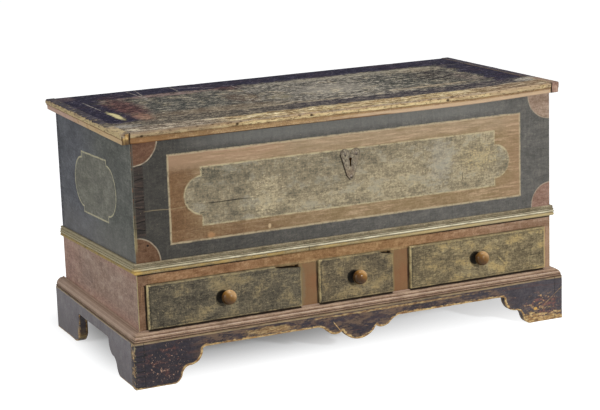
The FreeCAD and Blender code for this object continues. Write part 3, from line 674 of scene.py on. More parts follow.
def frontColour(paint, x, z, grain):
    # the painted front: ground, panel, cartouche and corner quadrants, each by its distance
    blotch, thread, speck = grain["Blotch"], grain["Thread"], grain["Speck"]
    ground, level = agedAndLevel(paint, paint.place, "#2b2926", "#393733", "#4a463f")
    # painted light: the ground runs from a darker tone at the left to a lighter one at the right, as light
    # from the right falls; it is lighter near the top at the left too
    bright = aged(paint, paint.place, "#454340", "#565450", "#6c6861")
    across = ease(blotch * 0.35 + x, -0.5, 0.5)
    across = most(across, ease(z, 0.585, 0.61) * ease(x, -0.6, -0.2) * 0.75)
    colour = blend(across, ground, bright)
    colour = blend(ease(z, 0.6, 0.622) * window(x, -0.56, -0.3, 0.35, 0.55) * 0.4, colour, "#7b7a75")
    strokes = noise(paint.place, (150.0, 150.0, 9.0), 5.0, 0.68)
    colour = layers(colour,
        (ease(strokes, 0.48, 0.34) * 0.12, "#23221f"),
        (ease(strokes, 0.54, 0.68) * 0.08, "#7a766d"))
    sway = noise(paint.place, (30.0,) * 3) * 0.003 - 0.0015

    panelGap = boxGap(x, z, frontPaint["panel"])
    colour = layers(colour,
        (within(panelGap, sway), panelColour(paint, x, z, blotch)),
        (drawnLine(paint, panelGap, 0.0042) * 0.8, "#aa9b7d"))

    left, right, low, high = frontPaint["cartouche"]
    first, last = frontPaint["leftDisc"], frontPaint["rightDisc"]
    gap = cartoucheGap(paint, x, z, ((left + right) / 2, (low + high) / 2),
                       ((right - left) / 2, (high - low) / 2), first, last)
    inner, flecks = cartoucheColour(paint, x, blotch)
    lineKept = ease(noise(paint.place, (30.0,) * 3, 5.0, 0.7), 0.34, 0.56)
    colour = layers(colour,
        (within(gap, sway), inner),
        (drawnLine(paint, gap, 0.0036) * lineKept * 0.8, "#b0a482"))
    stepMark = most(patchAt(paint, (-0.424, 0, 0.545), (0.008, 9, 0.014), 1.0),
                    patchAt(paint, (-0.428, 0, 0.435), (0.01, 9, 0.01), 1.4),
                    patchAt(paint, (-0.466, 0, 0.462), (0.008, 9, 0.014), 1.4))
    mottled = ease(noise(paint.place, (260.0,) * 3, 3.0, 0.7), 0.52, 0.6)
    colour = blend(stepMark * mottled * 0.8, colour, "#2f302b")

    for disc, (shades, strength) in zip(frontPaint["quadrants"], frontPaint["quadrantLooks"]):
        away = discGap(paint, x, z, disc)
        brown = aged(paint, paint.place, *shades)
        colour = layers(colour,
            (within(away, sway), brown),
            (drawnLine(paint, away, 0.0028) * strength, "#a89a84"))

    colour, pinMarks = cornerColour(paint, colour, x, z, blotch, thread)
    colour, holes = crackColour(paint, colour, x, z, thread)
    colour = blend(ease(speck, 0.66, 0.74) * 0.3, colour, "#b3a180")
    return colour, level["Height"] + flecks * 0.3 - most(pinMarks, holes)


sidePaint = {
    "middle": (0.004, 0.4735), "half": (0.1025, 0.0835),
    "frontDisc": (-0.100, 0.4745, 0.0680), "backDisc": (0.105, 0.4735, 0.0680),
    "fall": 0.026 / 0.62,
}


def sideColour(paint, x, y, z, grain):
    # the painted side: grey-green ground and cartouche above the waist, pinkish brown below
    blotch, thread = grain["Blotch"], grain["Thread"]
    vector = join(y, x, z)
    upper, level = agedAndLevel(paint, vector, "#2c2e32", "#47484d", "#63666a")
    warm = aged(paint, vector, "#2f312c", "#4a4b46", "#696a63")
    # the last coat is a painted shadow under the lid's side moulding
    upper = layers(upper,
        (ease(blotch * 0.3 + y, 0.3, 0.02), warm),
        (ease(z, 0.42, 0.33) * 0.35, "#6c6965"),
        (ease(z, 0.612, 0.636) * 0.5, "#2b2b2e"))
    first, last = sidePaint["frontDisc"], sidePaint["backDisc"]
    gap = cartoucheGap(paint, y, y * 0.045 + z, sidePaint["middle"], sidePaint["half"], first, last)
    field = aged(paint, vector, "#403f38", "#5f5e54", "#817f73")
    upper = layers(upper,
        (within(gap), field),
        (drawnLine(paint, gap, 0.0036) * 0.95, "#aaa386"))

    lower = aged(paint, vector, "#67524a", "#8a7263", "#a99687")
    red = aged(paint, vector, "#6f4f44", "#9b7869", "#b59585")
    reddish = most(ease(y, 0.1, 0.28), ease(z, 0.262, 0.29), ease(z, 0.185, 0.15))
    lower = blend(reddish * 0.6, lower, red)
    limit = (y - caseFront) * -sidePaint["fall"] + (railTop - 0.002)
    colour = blend(ease(z - limit, 0.001, -0.001), upper, lower)

    # dovetail lines at the two upright edges of the side
    joint = pinLines(paint, z - railTop, 0.0, pins["casePitch"], pins["narrow"])
    nearFront = ease(y, caseFront + 0.0225, caseFront + 0.0215)
    nearBack = ease(y, caseBack - 0.0205, caseBack - 0.0195)
    ends = joint["Line"] * most(nearFront * 0.25, nearBack) * ease(z, 0.31, 0.315)
    backDark = ramp(thread, (0.4, "#1d1d22"), (0.52, "#33333b"), (0.62, "#4d4d55"))
    colour = layers(colour,
        (nearBack * ease(z, 0.3, 0.32) * 0.75, backDark),
        (ends * 0.9, "#111013"))
    inset = near(y, caseBack - 0.026, 0.0022, 0.0009)
    dashes = (inset * ease(noise(paint.place, (1.0, 1.0, 75.0), 2.0, 0.5), 0.5, 0.56)
              * ease(z, 0.31, 0.33))
    colour = blend(dashes * 0.9, colour, "#141317")
    rubbed = rubbedFrom(paint, y - caseFront, 0.0045, paint.place)
    edge = blend(ease(z, 0.5, 0.34), "#6a6a60", "#a4976c")
    kept = most(ease(z, 0.345, 0.375), ease(z, 0.3, 0.29)) * 0.8 + 0.1
    colour = layers(colour,
        (rubbed * kept, edge),
        (ease(grain["Speck"], 0.66, 0.73) * 0.4, "#9b968a"))
    return colour, level["Height"] - ends


def stileColour(paint, x, z, grain):
    # brown of the rail and the uprights; painted shade lies under the moulding, left of each drawer's lip
    # and above it
    brown, level = agedAndLevel(paint, paint.place, "#68482f", "#8d6a4b", "#ae8e6c")
    dim = aged(paint, paint.place, "#4f3829", "#6b503c", "#876b55")
    colour = blend(ease(x, -0.56, -0.6), brown, dim)
    pale = aged(paint, paint.place, "#735943", "#917560", "#ad9682")
    colour = layers(colour,
        (ease(x, 0.15, 0.65), pale),
        (ease(z, openingTop + 0.004, openingTop - 0.004) * ease(x, -0.5, -0.4) * 0.45,
         blend(ease(x, 0.4, 0.6), "#ae7f52", "#a1836a")))
    onRail = ease(z, openingTop, openingTop + 0.001)
    colour = blend(ease(grain["Streak"], 0.52, 0.62) * onRail * 0.35, colour, "#5d4029")
    upright = noise(paint.place, (170.0, 170.0, 6.0), 5.0, 0.68)
    colour = layers(colour,
        (ease(upright, 0.46, 0.36) * (1.0 - onRail) * 0.3, "#5f3f26"),
        (ease(upright, 0.54, 0.64) * (1.0 - onRail) * 0.3, "#b89062"))
    between = (1.0 - onRail) * window(x, -0.3, -0.2, 0.2, 0.35)
    colour = layers(colour,
        (between * 0.6, "#bd875e"),
        (ease(grain["Speck"], 0.6, 0.7) * 0.35, "#4c3827"))
    smear = patchAt(paint, (-0.153, caseFront, 0.205), (0.009, 0.02, 0.055), 1.8)
    colour = blend(smear * 0.6, colour, "#a5977a")
    waver = noise(paint.place, (40.0,) * 3, 4.0) * 0.004 - 0.002
    # painted shadow on the rail just under the waist moulding
    under = railTop - mouldings["waist"]["below"]
    paintedShade = ease(z + waver, under - 0.006, under - 0.0035)
    # painted shade left of each drawer's lip, in a line above it and in the opening at its top right
    for left, right in drawerSpans().values():
        high = openingTop + drawers["lip"]
        beside = (ease(x + waver, left - drawers["lip"] - 0.0065, left - drawers["lip"] - 0.004)
                  * ease(x, right, left) * ease(z, high + 0.002, high - 0.004))
        above = (ease(z + waver, high + 0.0035, high + 0.0015) * ease(z, deckHigh.z, high)
                 * window(x, left - 0.006, left, right, right + 0.006) * 0.6)
        notch = ease(z, high + 0.001, high) * window(x, right + 0.002, right, left + 0.002, left)
        paintedShade = most(paintedShade, beside, above, notch)
        rub = (ease(x + waver, right + 0.0135, right + 0.0105) * ease(x, right, right + 0.004)
               * ease(z, high + 0.002, high - 0.004))
        colour = blend(rub * 0.7, colour, "#b8a06c")
    colour = blend(paintedShade * 0.92, colour, "#0e0b09")
    return colour, level["Height"]


def makeCaseFinish():
    # paint on the outer faces of the boards, bare wood on the others
    paint = newFinish("casePaint")
    x, y, z = split(paint.place)
    grain = paint.use("grain", {"Vector": paint.place})
    sideGrain = paint.use("grain", {"Vector": join(y, x, z)})
    front, frontHeight = frontColour(paint, x, z, grain)
    stile = stileColour(paint, x, z, grain)[0]
    front = blend(ease(z, railTop + 0.0005, railTop - 0.0005), front, stile)
    side, sideHeight = sideColour(paint, x, y, z, sideGrain)
    wide, deep = abs(x), y - caseFront
    isFront = ease(deep, 0.0011, 0.0006)
    isOuter = ease(wide, caseHalf - 0.0013, caseHalf - 0.0008)
    wood = woodColour(paint, blend(ease(wide, caseHalf - 0.03, caseHalf - 0.028), paint.place,
                                              join(y, x, z)))
    back = aged(paint, paint.place, "#56442f", "#755d43", "#92785a")
    wood = blend(ease(y, caseBack - 0.0013, caseBack - 0.0008), wood, back)
    colour = blend(isOuter, blend(isFront, wood, front), side)
    rough = grain["Blotch"] * 0.3 + 0.45
    height = blend(isOuter, blend(isFront, grain["Fine"], frontHeight), sideHeight)
    return closeFinish(paint, colour, rough, height, 0.0005, 0.7)


def makeRailFinish():
    # brown paint on the front of the rail and the uprights
    paint = newFinish("railPaint")
    x, y, z = split(paint.place)
    grain = paint.use("grain", {"Vector": paint.place})
    colour, height = stileColour(paint, x, z, grain)
    ochre = aged(paint, paint.place, "#66462a", "#8a6a44", "#a98a5e")
    middle = window(x, -0.35, -0.15, 0.1, 0.3) * ease(z, openingTop - 0.002, openingTop + 0.002)
    colour = blend(middle * 0.55, colour, ochre)
    dirty = ease(z, openingTop + 0.012, openingTop + 0.002) * ease(grain["Blotch"], 0.35, 0.6)
    colour = blend(dirty * 0.35, colour, "#a5936a")
    edge = rubbedFrom(paint, z - openingTop, 0.0022, paint.place)
    colour = blend(edge * 0.6, colour, "#3a291c")
    wood = woodColour(paint, paint.place)
    colour = blend(ease(y, caseFront + 0.0011, caseFront + 0.0006), wood, colour)
    rough = grain["Blotch"] * 0.3 + 0.45
    return closeFinish(paint, colour, rough, height, 0.0005, 0.7)


mouldings = {
    "lidFront": {"depth": 0.009, "nose": 0.003, "height": 0.0285, "wear": 0.0009},
    "lidSide": {"depth": 0.027, "nose": 0.005, "height": 0.0285, "wear": 0.0012},
    "waist": {"depth": 0.009, "height": 0.029, "below": 0.015, "drop": 0.026, "wear": 0.00015},
    "base": {"depth": 0.024, "height": 0.026, "wear": 0.0005},
    "nails": ((-0.585, 0.6), (-0.325, 0.75), (-0.115, 0.78), (0.29, 0.7)),     # along X, height's share
    # a band: low and high on the profile from 0 to 1, colour, strength, raggedness; a dark line takes the
    # first four, and is painted shade in a groove or under the moulding
    "lidLooks": {
        "ground": ("#553e2c", "#876c53", "#b39979"),
        "bands": [(0.0, 0.2, "#b3966b", 0.6, 0.15), (0.2, 0.52, "#a98a5e", 0.6, 0.15),
                  (0.55, 0.92, "#b59c71", 0.95, 0.3), (0.6, 0.78, "#d9c596", 0.65, 0.6),
                  (0.86, 1.1, "#8f8370", 0.8, 0.25)],
        "specks": ("#463019", "#d8c59a"),
        "paintedShade": [(0.49, 0.55, "#3a2819", 0.28), (-0.2, 0.07, "#24180f", 0.85)],
        "scuffs": 1.0},
    "waistLooks": {
        "ground": ("#4b4333", "#7a6f59", "#a1967d"),
        # the pale bands on the three reeds are painted highlights on their crests
        "bands": [(0.12, 0.36, "#a58b55", 0.85, 0.05), (0.41, 0.5, "#cdc5aa", 0.9, 0.02),
                  (0.57, 0.64, "#beb498", 0.8, 0.03), (0.72, 0.78, "#a8a085", 0.7, 0.03)],
        "specks": ("#4a4233", "#d3c8a6"),
        "paintedShade": [(0.36, 0.39, "#211c15", 0.9), (0.515, 0.548, "#26221a", 0.85),
                 (0.66, 0.69, "#2d2920", 0.7), (0.0, 0.1, "#1d1913", 0.9)],
        "scuffs": 0.7},
    "baseLooks": {
        "ground": ("#604839", "#866e5b", "#a78f79"),
        "bands": [(0.1, 0.26, "#b59d82", 0.6, 0.05), (0.3, 0.36, "#c9b28a", 0.9, 0.015),
                  (0.44, 0.475, "#bba690", 0.7, 0.015), (0.58, 0.62, "#bca893", 0.7, 0.015),
                  (0.73, 0.77, "#b7a18b", 0.6, 0.02), (0.86, 1.0, "#957f6e", 0.6, 0.03)],
        "specks": ("#4c352b", "#cbb89c"),
        "paintedShade": [(0.372, 0.408, "#261813", 0.85), (0.492, 0.522, "#35221b", 0.75),
                 (0.642, 0.672, "#35221b", 0.65)],
        "scuffs": 0.55},
}


def lidProfile(sizes):
    # flat foot, cove, quirk and rounded nose, from the foot up to the top and back to the board
    depth, nose, height = sizes["depth"], sizes["nose"], sizes["height"]
    foot = depth - nose
    return walk((0.0, 0.0), [
        (foot - 0.0006, 0.0), ((foot - 0.0002, 0.0002), (foot, 0.0006)), (foot, height * 0.23),
        ((foot + nose * 0.2, height * 0.4), (depth - nose * 0.35, height * 0.5)),
        (depth - nose * 0.62, height * 0.53), (depth - nose * 0.3, height * 0.56),
        ((depth, height * 0.76), (depth - nose * 0.75, height)), (0.0, height)], 0.0009)


def waistProfile(sizes):
    # heavy bead below, then three reeds, the lowest standing furthest out
    out, height = sizes["depth"], sizes["height"]
    bead = height * 0.31
    reed = (height - bead) / 3
    moves = [(out * 0.5, 0.0), ((out * 0.97, bead * 0.5), (out * 0.6, bead))]
    for number, (bulge, groove) in enumerate(((1.0, 0.58), (0.88, 0.46), (0.72, 0.3))):
        low = bead + number * reed
        moves.append(((out * bulge, low + reed * 0.5), (out * groove, low + reed)))
    return walk((0.0, 0.0), moves + [(0.0, height)], 0.0008)


def baseProfile(sizes):
    # fillet on top, ovolo with three scratched lines, quirk and small bead
    out, height = sizes["depth"], sizes["height"]
    fillet, quirk, bead = 0.0025, 0.0015, 0.007
    bend = 1 - math.sqrt(0.5)
    wide, tall = out - quirk - fillet, height - fillet - bead
    shape = walk((0.0, 0.0), [
        (out - quirk, 0.0), ((out, bead / 2), (out - 2 * quirk, bead - quirk)),
        (out - quirk, bead),
        ((fillet + wide * (1 - bend), bead + tall * (1 - bend)), (fillet, height - fillet)),
        (fillet, height), (0.0, height)], 0.0007)
    turn = np.arctan2(shape[:, 1] - bead, shape[:, 0] - fillet)
    for angle in (0.42, 0.8, 1.16):
        groove = 0.0005 * np.exp(-((turn - angle) * 0.018 / 0.0007) ** 2) * (shape[:, 1] > bead)
        shape = shape - groove[:, None] * np.stack([np.cos(turn), np.sin(turn)], -1)
    return shape


frontColumns, sideColumns = 330, 181


def mouldingPiece(name, profile, sizes, along, bottom, finish, body, end, mitre=True, drop=0.0,
                  seed=0):
    # a profile carried along X or Y; each end is cut square, or on the mitre, where a point's place along
    # the run shifts by how far it stands out; wear is noise and dents times the share of the depth squared
    out, high = profile[:, 0], profile[:, 1]
    across = lengthShare(profile)
    out, high, across = out[:-1], high[:-1], across[:-1]
    if along == "front":
        width = caseHalf if mitre else lidHigh.x
        reach = width + (out if mitre else 0 * out)
        share = np.linspace(-1, 1, frontColumns)[:, None]
        x = share * reach
        face = caseFront if mitre else lidLow.y
        y = np.broadcast_to(face - out, x.shape).copy()
        z = np.broadcast_to(bottom + high, x.shape).copy()
        way = np.array([0.0, -1.0, 0.0])
    else:
        side = -1 if along == "left" else 1
        start = caseFront - out if mitre else lidLow.y - mouldings["lidFront"]["depth"] + 0 * out
        crowded = np.array([0, 0.0003, 0.0008, 0.0016, 0.0026, 0.004, 0.0055, 0.0075])
        crowded = crowded / (end - start).mean()
        share = np.concatenate([crowded, np.linspace(crowded[-1], 1, sideColumns)[1:]])[:, None]
        y = start + share * (end - start)
        x = np.broadcast_to(side * ((caseHalf if mitre else lidHigh.x) + out), y.shape).copy()
        z = bottom + high - drop * (y - caseFront) / (caseBack - caseFront)
        way = np.array([float(side), 0.0, 0.0])
    grid = np.stack([x, y, z], -1)
    free = np.clip(out / sizes["depth"], 0, 1) ** 2
    wear = (sizes["wear"]
            * (0.6 * softNoise(grid, 0.035, seed + 1, 3) + 1.6 * dents(grid, 0.014, seed + 2, 0.25)))
    grid = grid - way * (free * wear)[..., None]
    grid[..., 2] -= free * sizes["wear"] * 0.5 * softNoise(grid, 0.05, seed + 3)
    marks = {"across": across}
    if not mitre:
        marks["height"] = (grid[..., 2] - bottom) / sizes["height"]
        grid = softenEnds(grid, along)
        grid[..., 2] += lidRise(grid[..., 0], grid[..., 1])
    return makePiece(name, [{"grid": grid, "wrap": (False, True), "caps": (0, -1), "marks": marks}],
                     body, finish, (name.replace("Own", ""),), 40)


sprung = {"start": 0.3, "rise": 0.0075, "power": 1.5}
wornEnd = {"corner": 0.007, "reach": 0.004, "top": 0.0045}


def lidRise(x, y):
    # the old lid has sprung: its height grows with a power of the share of the way from start to its
    # right end, times the share of the way from its back to its front
    share = np.clip((x - sprung["start"]) / (lidHigh.x - sprung["start"]), 0, 1.1)
    forward = np.clip((lidHigh.y - y) / (lidHigh.y - lidLow.y), 0, 1.05)
    return sprung["rise"] * share ** sprung["power"] * forward


def softenEnds(grid, along):
    # the outer corner of a side run's front end is worn to an arc in plan, and its top to one in height:
    # each falls by its radius less the root of radius squared less depth into the corner squared
    if along == "front":
        return grid
    side = np.sign(grid[0, 0, 0])
    fromFront = grid[..., 1] - grid[0, 0, 1]
    fromOut = lidHigh.x + mouldings["lidSide"]["depth"] - np.abs(grid[..., 0])
    room = roundOver(fromFront, wornEnd["corner"])
    grid[..., 0] -= side * np.clip(room - fromOut, 0, wornEnd["corner"])
    low, high = grid[..., 2].min(), grid[..., 2].max()
    into = np.clip(wornEnd["reach"] - fromFront, 0, wornEnd["reach"])
    fall = wornEnd["top"] - np.sqrt(wornEnd["top"] ** 2 - into ** 2)
    upper = np.clip((grid[..., 2] - low) / (high - low) * 2 - 1, 0, 1)
    grid[..., 2] -= upper * fall
    return grid


def makeMouldingFinish(name, looks, along="across"):
    # the ground, the bands of paint along the profile, scuffs all over, and painted shade as dark lines in
    # the grooves and under the profile
    specks, scuffs = looks["specks"], looks["scuffs"]
    paint = newFinish(name)
    x, y, z = split(paint.place)
    across = paint.mark(along)
    vector = join(x + y, y, z)
    grain = paint.use("grain", {"Vector": vector})
    colour, level = agedAndLevel(paint, vector, *looks["ground"])
    ragged = noise(vector, (60.0, 200.0, 200.0), 6.0, 0.72)
    for low, high, shade, strength, broken in looks["bands"]:
        shifted = (ragged - 0.5) * broken + across
        mask = window(shifted, low - 0.01, low + 0.01, high - 0.01, high + 0.01)
        worn = ease(noise(vector, (22.0, 60.0, 60.0 + 20 * low), 5.0, 0.7), 0.38, 0.56)
        colour = blend(mask * (worn * strength * 0.65 + 0.35 * strength), colour, shade)
    colour = blend(ease(grain["Thread"], 0.54, 0.66) * scuffs * 0.35, colour, specks[0])
    nicks = ease(noise(vector, (90.0, 90.0, 90.0), 4.0, 0.75), 0.62, 0.69)
    colour = layers(colour,
        (nicks * scuffs * 0.75, specks[0]),
        (ease(grain["Speck"], 0.6, 0.69) * scuffs * 0.6, specks[1]))
    # dark lines of painted shade in the grooves and along the foot
    for low, high, shade, strength in looks["paintedShade"]:
        mask = window(across, low - 0.006, low + 0.004, high - 0.004, high + 0.006)
        colour = blend(mask * strength, colour, shade)
    return paint, colour, level


def makeLidMouldingFinish():
    # worn cream nose over a brown cove, with end grain at the front corners
    paint, colour, level = makeMouldingFinish("lidMouldingPaint", mouldings["lidLooks"], "height")
    x, y = split(paint.place)[:2]
    height = paint.mark("height")
    blotch = noise(paint.place, (18.0, 18.0, 30.0), 5.0, 0.7)
    red = ease(x, -0.46, -0.58) * ease(height, 0.56, 0.42) * 0.5
    colour = blend(red, colour, "#a06f42")
    peach = ease(blotch * 0.4 + x, 0.05, 0.3) * ease(height, 0.42, 0.3)
    colour = blend(peach * 0.7, colour, "#c0a68a")
    grey = ease(x, 0.3, 0.5) * ease(height, 0.5, 0.6) * ease(blotch, 0.36, 0.5) * 0.8
    colour = blend(grey, colour, "#a38d70")
    dimmer = window(x, -0.617, -0.612, -0.42, -0.2) * ease(blotch, 0.36, 0.56) * 0.5
    colour = blend(dimmer, colour, "#6a4d33")
    greyer = ease(x, -0.3, -0.45) * ease(height, 0.5, 0.7) * 0.5
    colour = blend(greyer, colour, "#837462")
    wide = abs(x)
    sides = ease(wide, lidHigh.x + 0.0005, lidHigh.x + 0.0015)
    cream = sides * ease(height, 0.52, 0.44) * ease(blotch, 0.36, 0.5) * 0.75
    colour = layers(colour,
        (cream, "#c4ad88"),
        (sides * ease(height, 0.5, 0.6) * ease(blotch, 0.42, 0.54) * 0.5, "#cdb98a"))
    pink = sides * ease(height, 0.55, 0.45) * ease(blotch * 0.3 + y, 0.1, 0.3) * 0.8
    colour = blend(pink, colour, "#b3968a")
    cracked = ease(noise(paint.place, (70.0, 45.0, 240.0), 5.0, 0.72), 0.54, 0.6)
    colour = layers(colour,
        (cracked * ease(height, 0.5, 0.56) * 0.75, "#3b2a1e"),
        (ease(x, 0.616, 0.622) * 0.7, "#6c5350"))
    ragged = noise(paint.place, (60.0, 60.0, 60.0), 5.0, 0.7) * 0.4 + height
    shelf = sides * ease(ragged, 1.13, 1.17) * ease(y, -0.21, -0.18)
    colour = blend(shelf * 0.95, colour, lidTopColour(paint, x, y))
    endGrain = ease(y, lidLow.y - 0.0078, lidLow.y - 0.0086) * ease(wide, 0.615, 0.617)
    flutes = noise(paint.place, (150.0, 20.0, 30.0), 5.0, 0.7)
    stained = ramp(flutes, (0.4, "#2b1c12"), (0.49, "#6b4e30"), (0.56, "#a5854f"), (0.64, "#c9ad78"))
    stained = layers(stained,
        (ease(height, 0.6, 0.4) * 0.65, "#2e1f16"),
        (ease(height, 0.6, 0.75) * ease(blotch, 0.42, 0.52) * 0.6, "#aaa190"),
        (ease(x, 0.0, 0.1), ramp(flutes, (0.4, "#4c3a34"), (0.5, "#86695c"), (0.6, "#a88d7b"))))
    colour = blend(endGrain * 0.9, colour, stained)
    gap = near(wide, lidHigh.x + 0.0005, 0.0022, 0.001) * ease(y, lidLow.y, lidLow.y - 0.002)
    colour = blend(gap * 0.85, colour, "#1a120d")
    for nail, along in mouldings["nails"]:
        nailZ = lidHigh.z - mouldings["lidFront"]["height"] * (1 - along)
        spot = patchAt(paint, (nail, lidLow.y - 0.009, nailZ), (0.005, 0.004, 0.0035), 0.8)
        colour = blend(spot * 0.9, colour, "#2c1f15")
    brown = ease(height, 0.16, 0.05) * window(x, -0.08, -0.04, 0.1, 0.14)
    colour = blend(brown * 0.8, colour, "#5b4029")
    return closeFinish(paint, colour, blotch * 0.3 + 0.45, level["Height"], 0.0006, 0.9, 0.03)


def makeWaistFinish():
    # olive with pale reeds whose crests carry a painted highlight, and a joint in the run
    paint, colour, level = makeMouldingFinish("waistMouldingPaint", mouldings["waistLooks"])
    x, y = split(paint.place)[:2]
    joint = near(x, -0.133, 0.0022, 0.0008)
    colour = blend(joint * ease(paint.mark("across"), 0.5, 0.4) * 0.7, colour, "#2c251c")
    pale = ease(x, -0.3, 0.5) * ease(paint.mark("across"), 0.4, 0.34) * 0.6
    colour = blend(pale, colour, "#b0a27e")
    waistSides = ease(y, caseFront - 0.002, caseFront + 0.004)
    colour = blend(waistSides * ease(paint.mark("across"), 0.3, 0.5) * 0.45, colour, "#b3a889")
    # the first reed's painted highlight is dulled at the far left
    dulled = ease(x, -0.36, -0.56) * window(paint.mark("across"), 0.38, 0.41, 0.49, 0.52) * 0.6
    colour = blend(dulled, colour, "#8f8467")
    cornerWear = patchAt(paint, (-0.622, caseFront - 0.006, 0.304), (0.02, 0.022, 0.012), 1.6)
    colour = blend(cornerWear * 0.6, colour, "#c5a25a")
    return closeFinish(paint, colour, 0.6, level["Height"], 0.0003, 0.5, 0.03)


def makeBaseFinish():
    # pinkish brown, with painted shade under each drawer's lip
    paint, colour, level = makeMouldingFinish("baseMouldingPaint", mouldings["baseLooks"])
    x, y = split(paint.place)[:2]
    sides = ease(y, baseLow.y + 0.01, caseFront + 0.02)
    colour = blend(sides * ease(paint.mark("across"), 0.4, 0.6) * 0.6, colour, "#b8a08f")
    # painted shade on the moulding just under each drawer's lip
    under = 0.0
    for left, right in drawerSpans().values():
        span = window(x, left - 0.006, left - 0.003, right + 0.003, right + 0.005)
        under = most(under, span)
    ragged = noise(paint.place, (40.0,) * 3, 4.0) * 0.003 + y
    under = under * ease(ragged, caseFront - 0.0078, caseFront - 0.0062) * 0.92
    colour = blend(under, colour, "#0f0b09")
    return closeFinish(paint, colour, 0.55, level["Height"], 0.0003, 0.5, 0.05)


base = {
    "thickness": 0.026, "under": 0.088, "scroll": 0.087, "frontToe": 0.108, "sideToe": 0.130,
    "pendantHalf": 0.124, "pendantBottom": 0.039, "rearFoot": 0.205, "rearRound": 0.030, "rearToe": 0.158,
    "worn": 0.0036,          # radius of the worn edges
}


def footMoves(outer, way, toe):
    # toe, hollow, cusp, lobe and small step, walked from the floor up to the rail
    def at(u, v):
        return (outer + way * (toe + u * base["scroll"]), v * base["under"])
    return [at(0.0, 0.0), (at(0.15, 0.09), at(0.24, 0.27)), (at(0.32, 0.42), at(0.47, 0.5)),
            (at(0.78, 0.6), at(0.92, 0.875)), at(0.92, 0.955), at(1.0, 1.0)]


def turned(points):
    # the same outline, walked the other way
    return points[::-1]


def bracketOutlines():
    # each is a list of stretches; a stretch is a polyline along the lower edge and its ends meet the rail
    half, low, high = baseHigh.x, baseLow.y, baseHigh.y
    foot = walk((-half, 0.0), footMoves(-half, 1, base["frontToe"]), 0.003)
    def at(u, v):
        return (u * base["pendantHalf"], base["pendantBottom"] + v
                * (base["under"] - base["pendantBottom"]))
    drop = walk(at(0, 0), [(at(0.225, 0.14), at(0.38, 0.51)), at(0.41, 0.61), at(0.45, 0.53),
                           (at(0.605, 0.47), at(0.74, 0.63)), (at(0.855, 0.88), at(1, 1))], 0.003)
    flip = np.array([-1.0, 1.0])
    leftRail = walk(tuple(foot[-1]), [tuple(drop[-1] * flip)], 0.006)
    front = [foot, leftRail, turned(drop * flip), drop, turned(leftRail * flip), turned(foot * flip)]

    sideFoot = walk((low, 0.0), footMoves(low, 1, base["sideToe"]), 0.003)
    start = low + base["thickness"] + 0.0003
    sideFoot = sideFoot[sideFoot[:, 0] > start]
    sideFoot = np.concatenate([[[start, 0.0]], sideFoot])
    inner, toeEnd = high - base["rearFoot"], high - base["rearToe"]
    run = toeEnd - inner
    radius = (run ** 2 + base["rearRound"] ** 2) / (2 * base["rearRound"])
    halfTurn = math.asin(run / radius) / 2
    middle = (toeEnd - radius * math.sin(halfTurn), radius - radius * math.cos(halfTurn))
    rearFoot = walk((inner, base["under"]),
                    [(inner, base["rearRound"]), (middle, (toeEnd, 0.0)), (high, 0.0)], 0.003)
    sideRail = walk(tuple(sideFoot[-1]), [(inner, base["under"])], 0.006)
    side = [sideFoot, sideRail, rearFoot]

    toe, end = -caseHalf + 0.040, -caseHalf + 0.135
    top = (end - 0.020, base["under"] * 0.8)
    bend = (toe + (top[0] - toe) * 0.47, top[1] * 0.56)
    rear = [walk((-caseHalf, 0.0), [(toe, 0.0), (bend, top), (end - 0.0001, bracketTop - 0.0005)], 0.003)]
    return front, side, rear


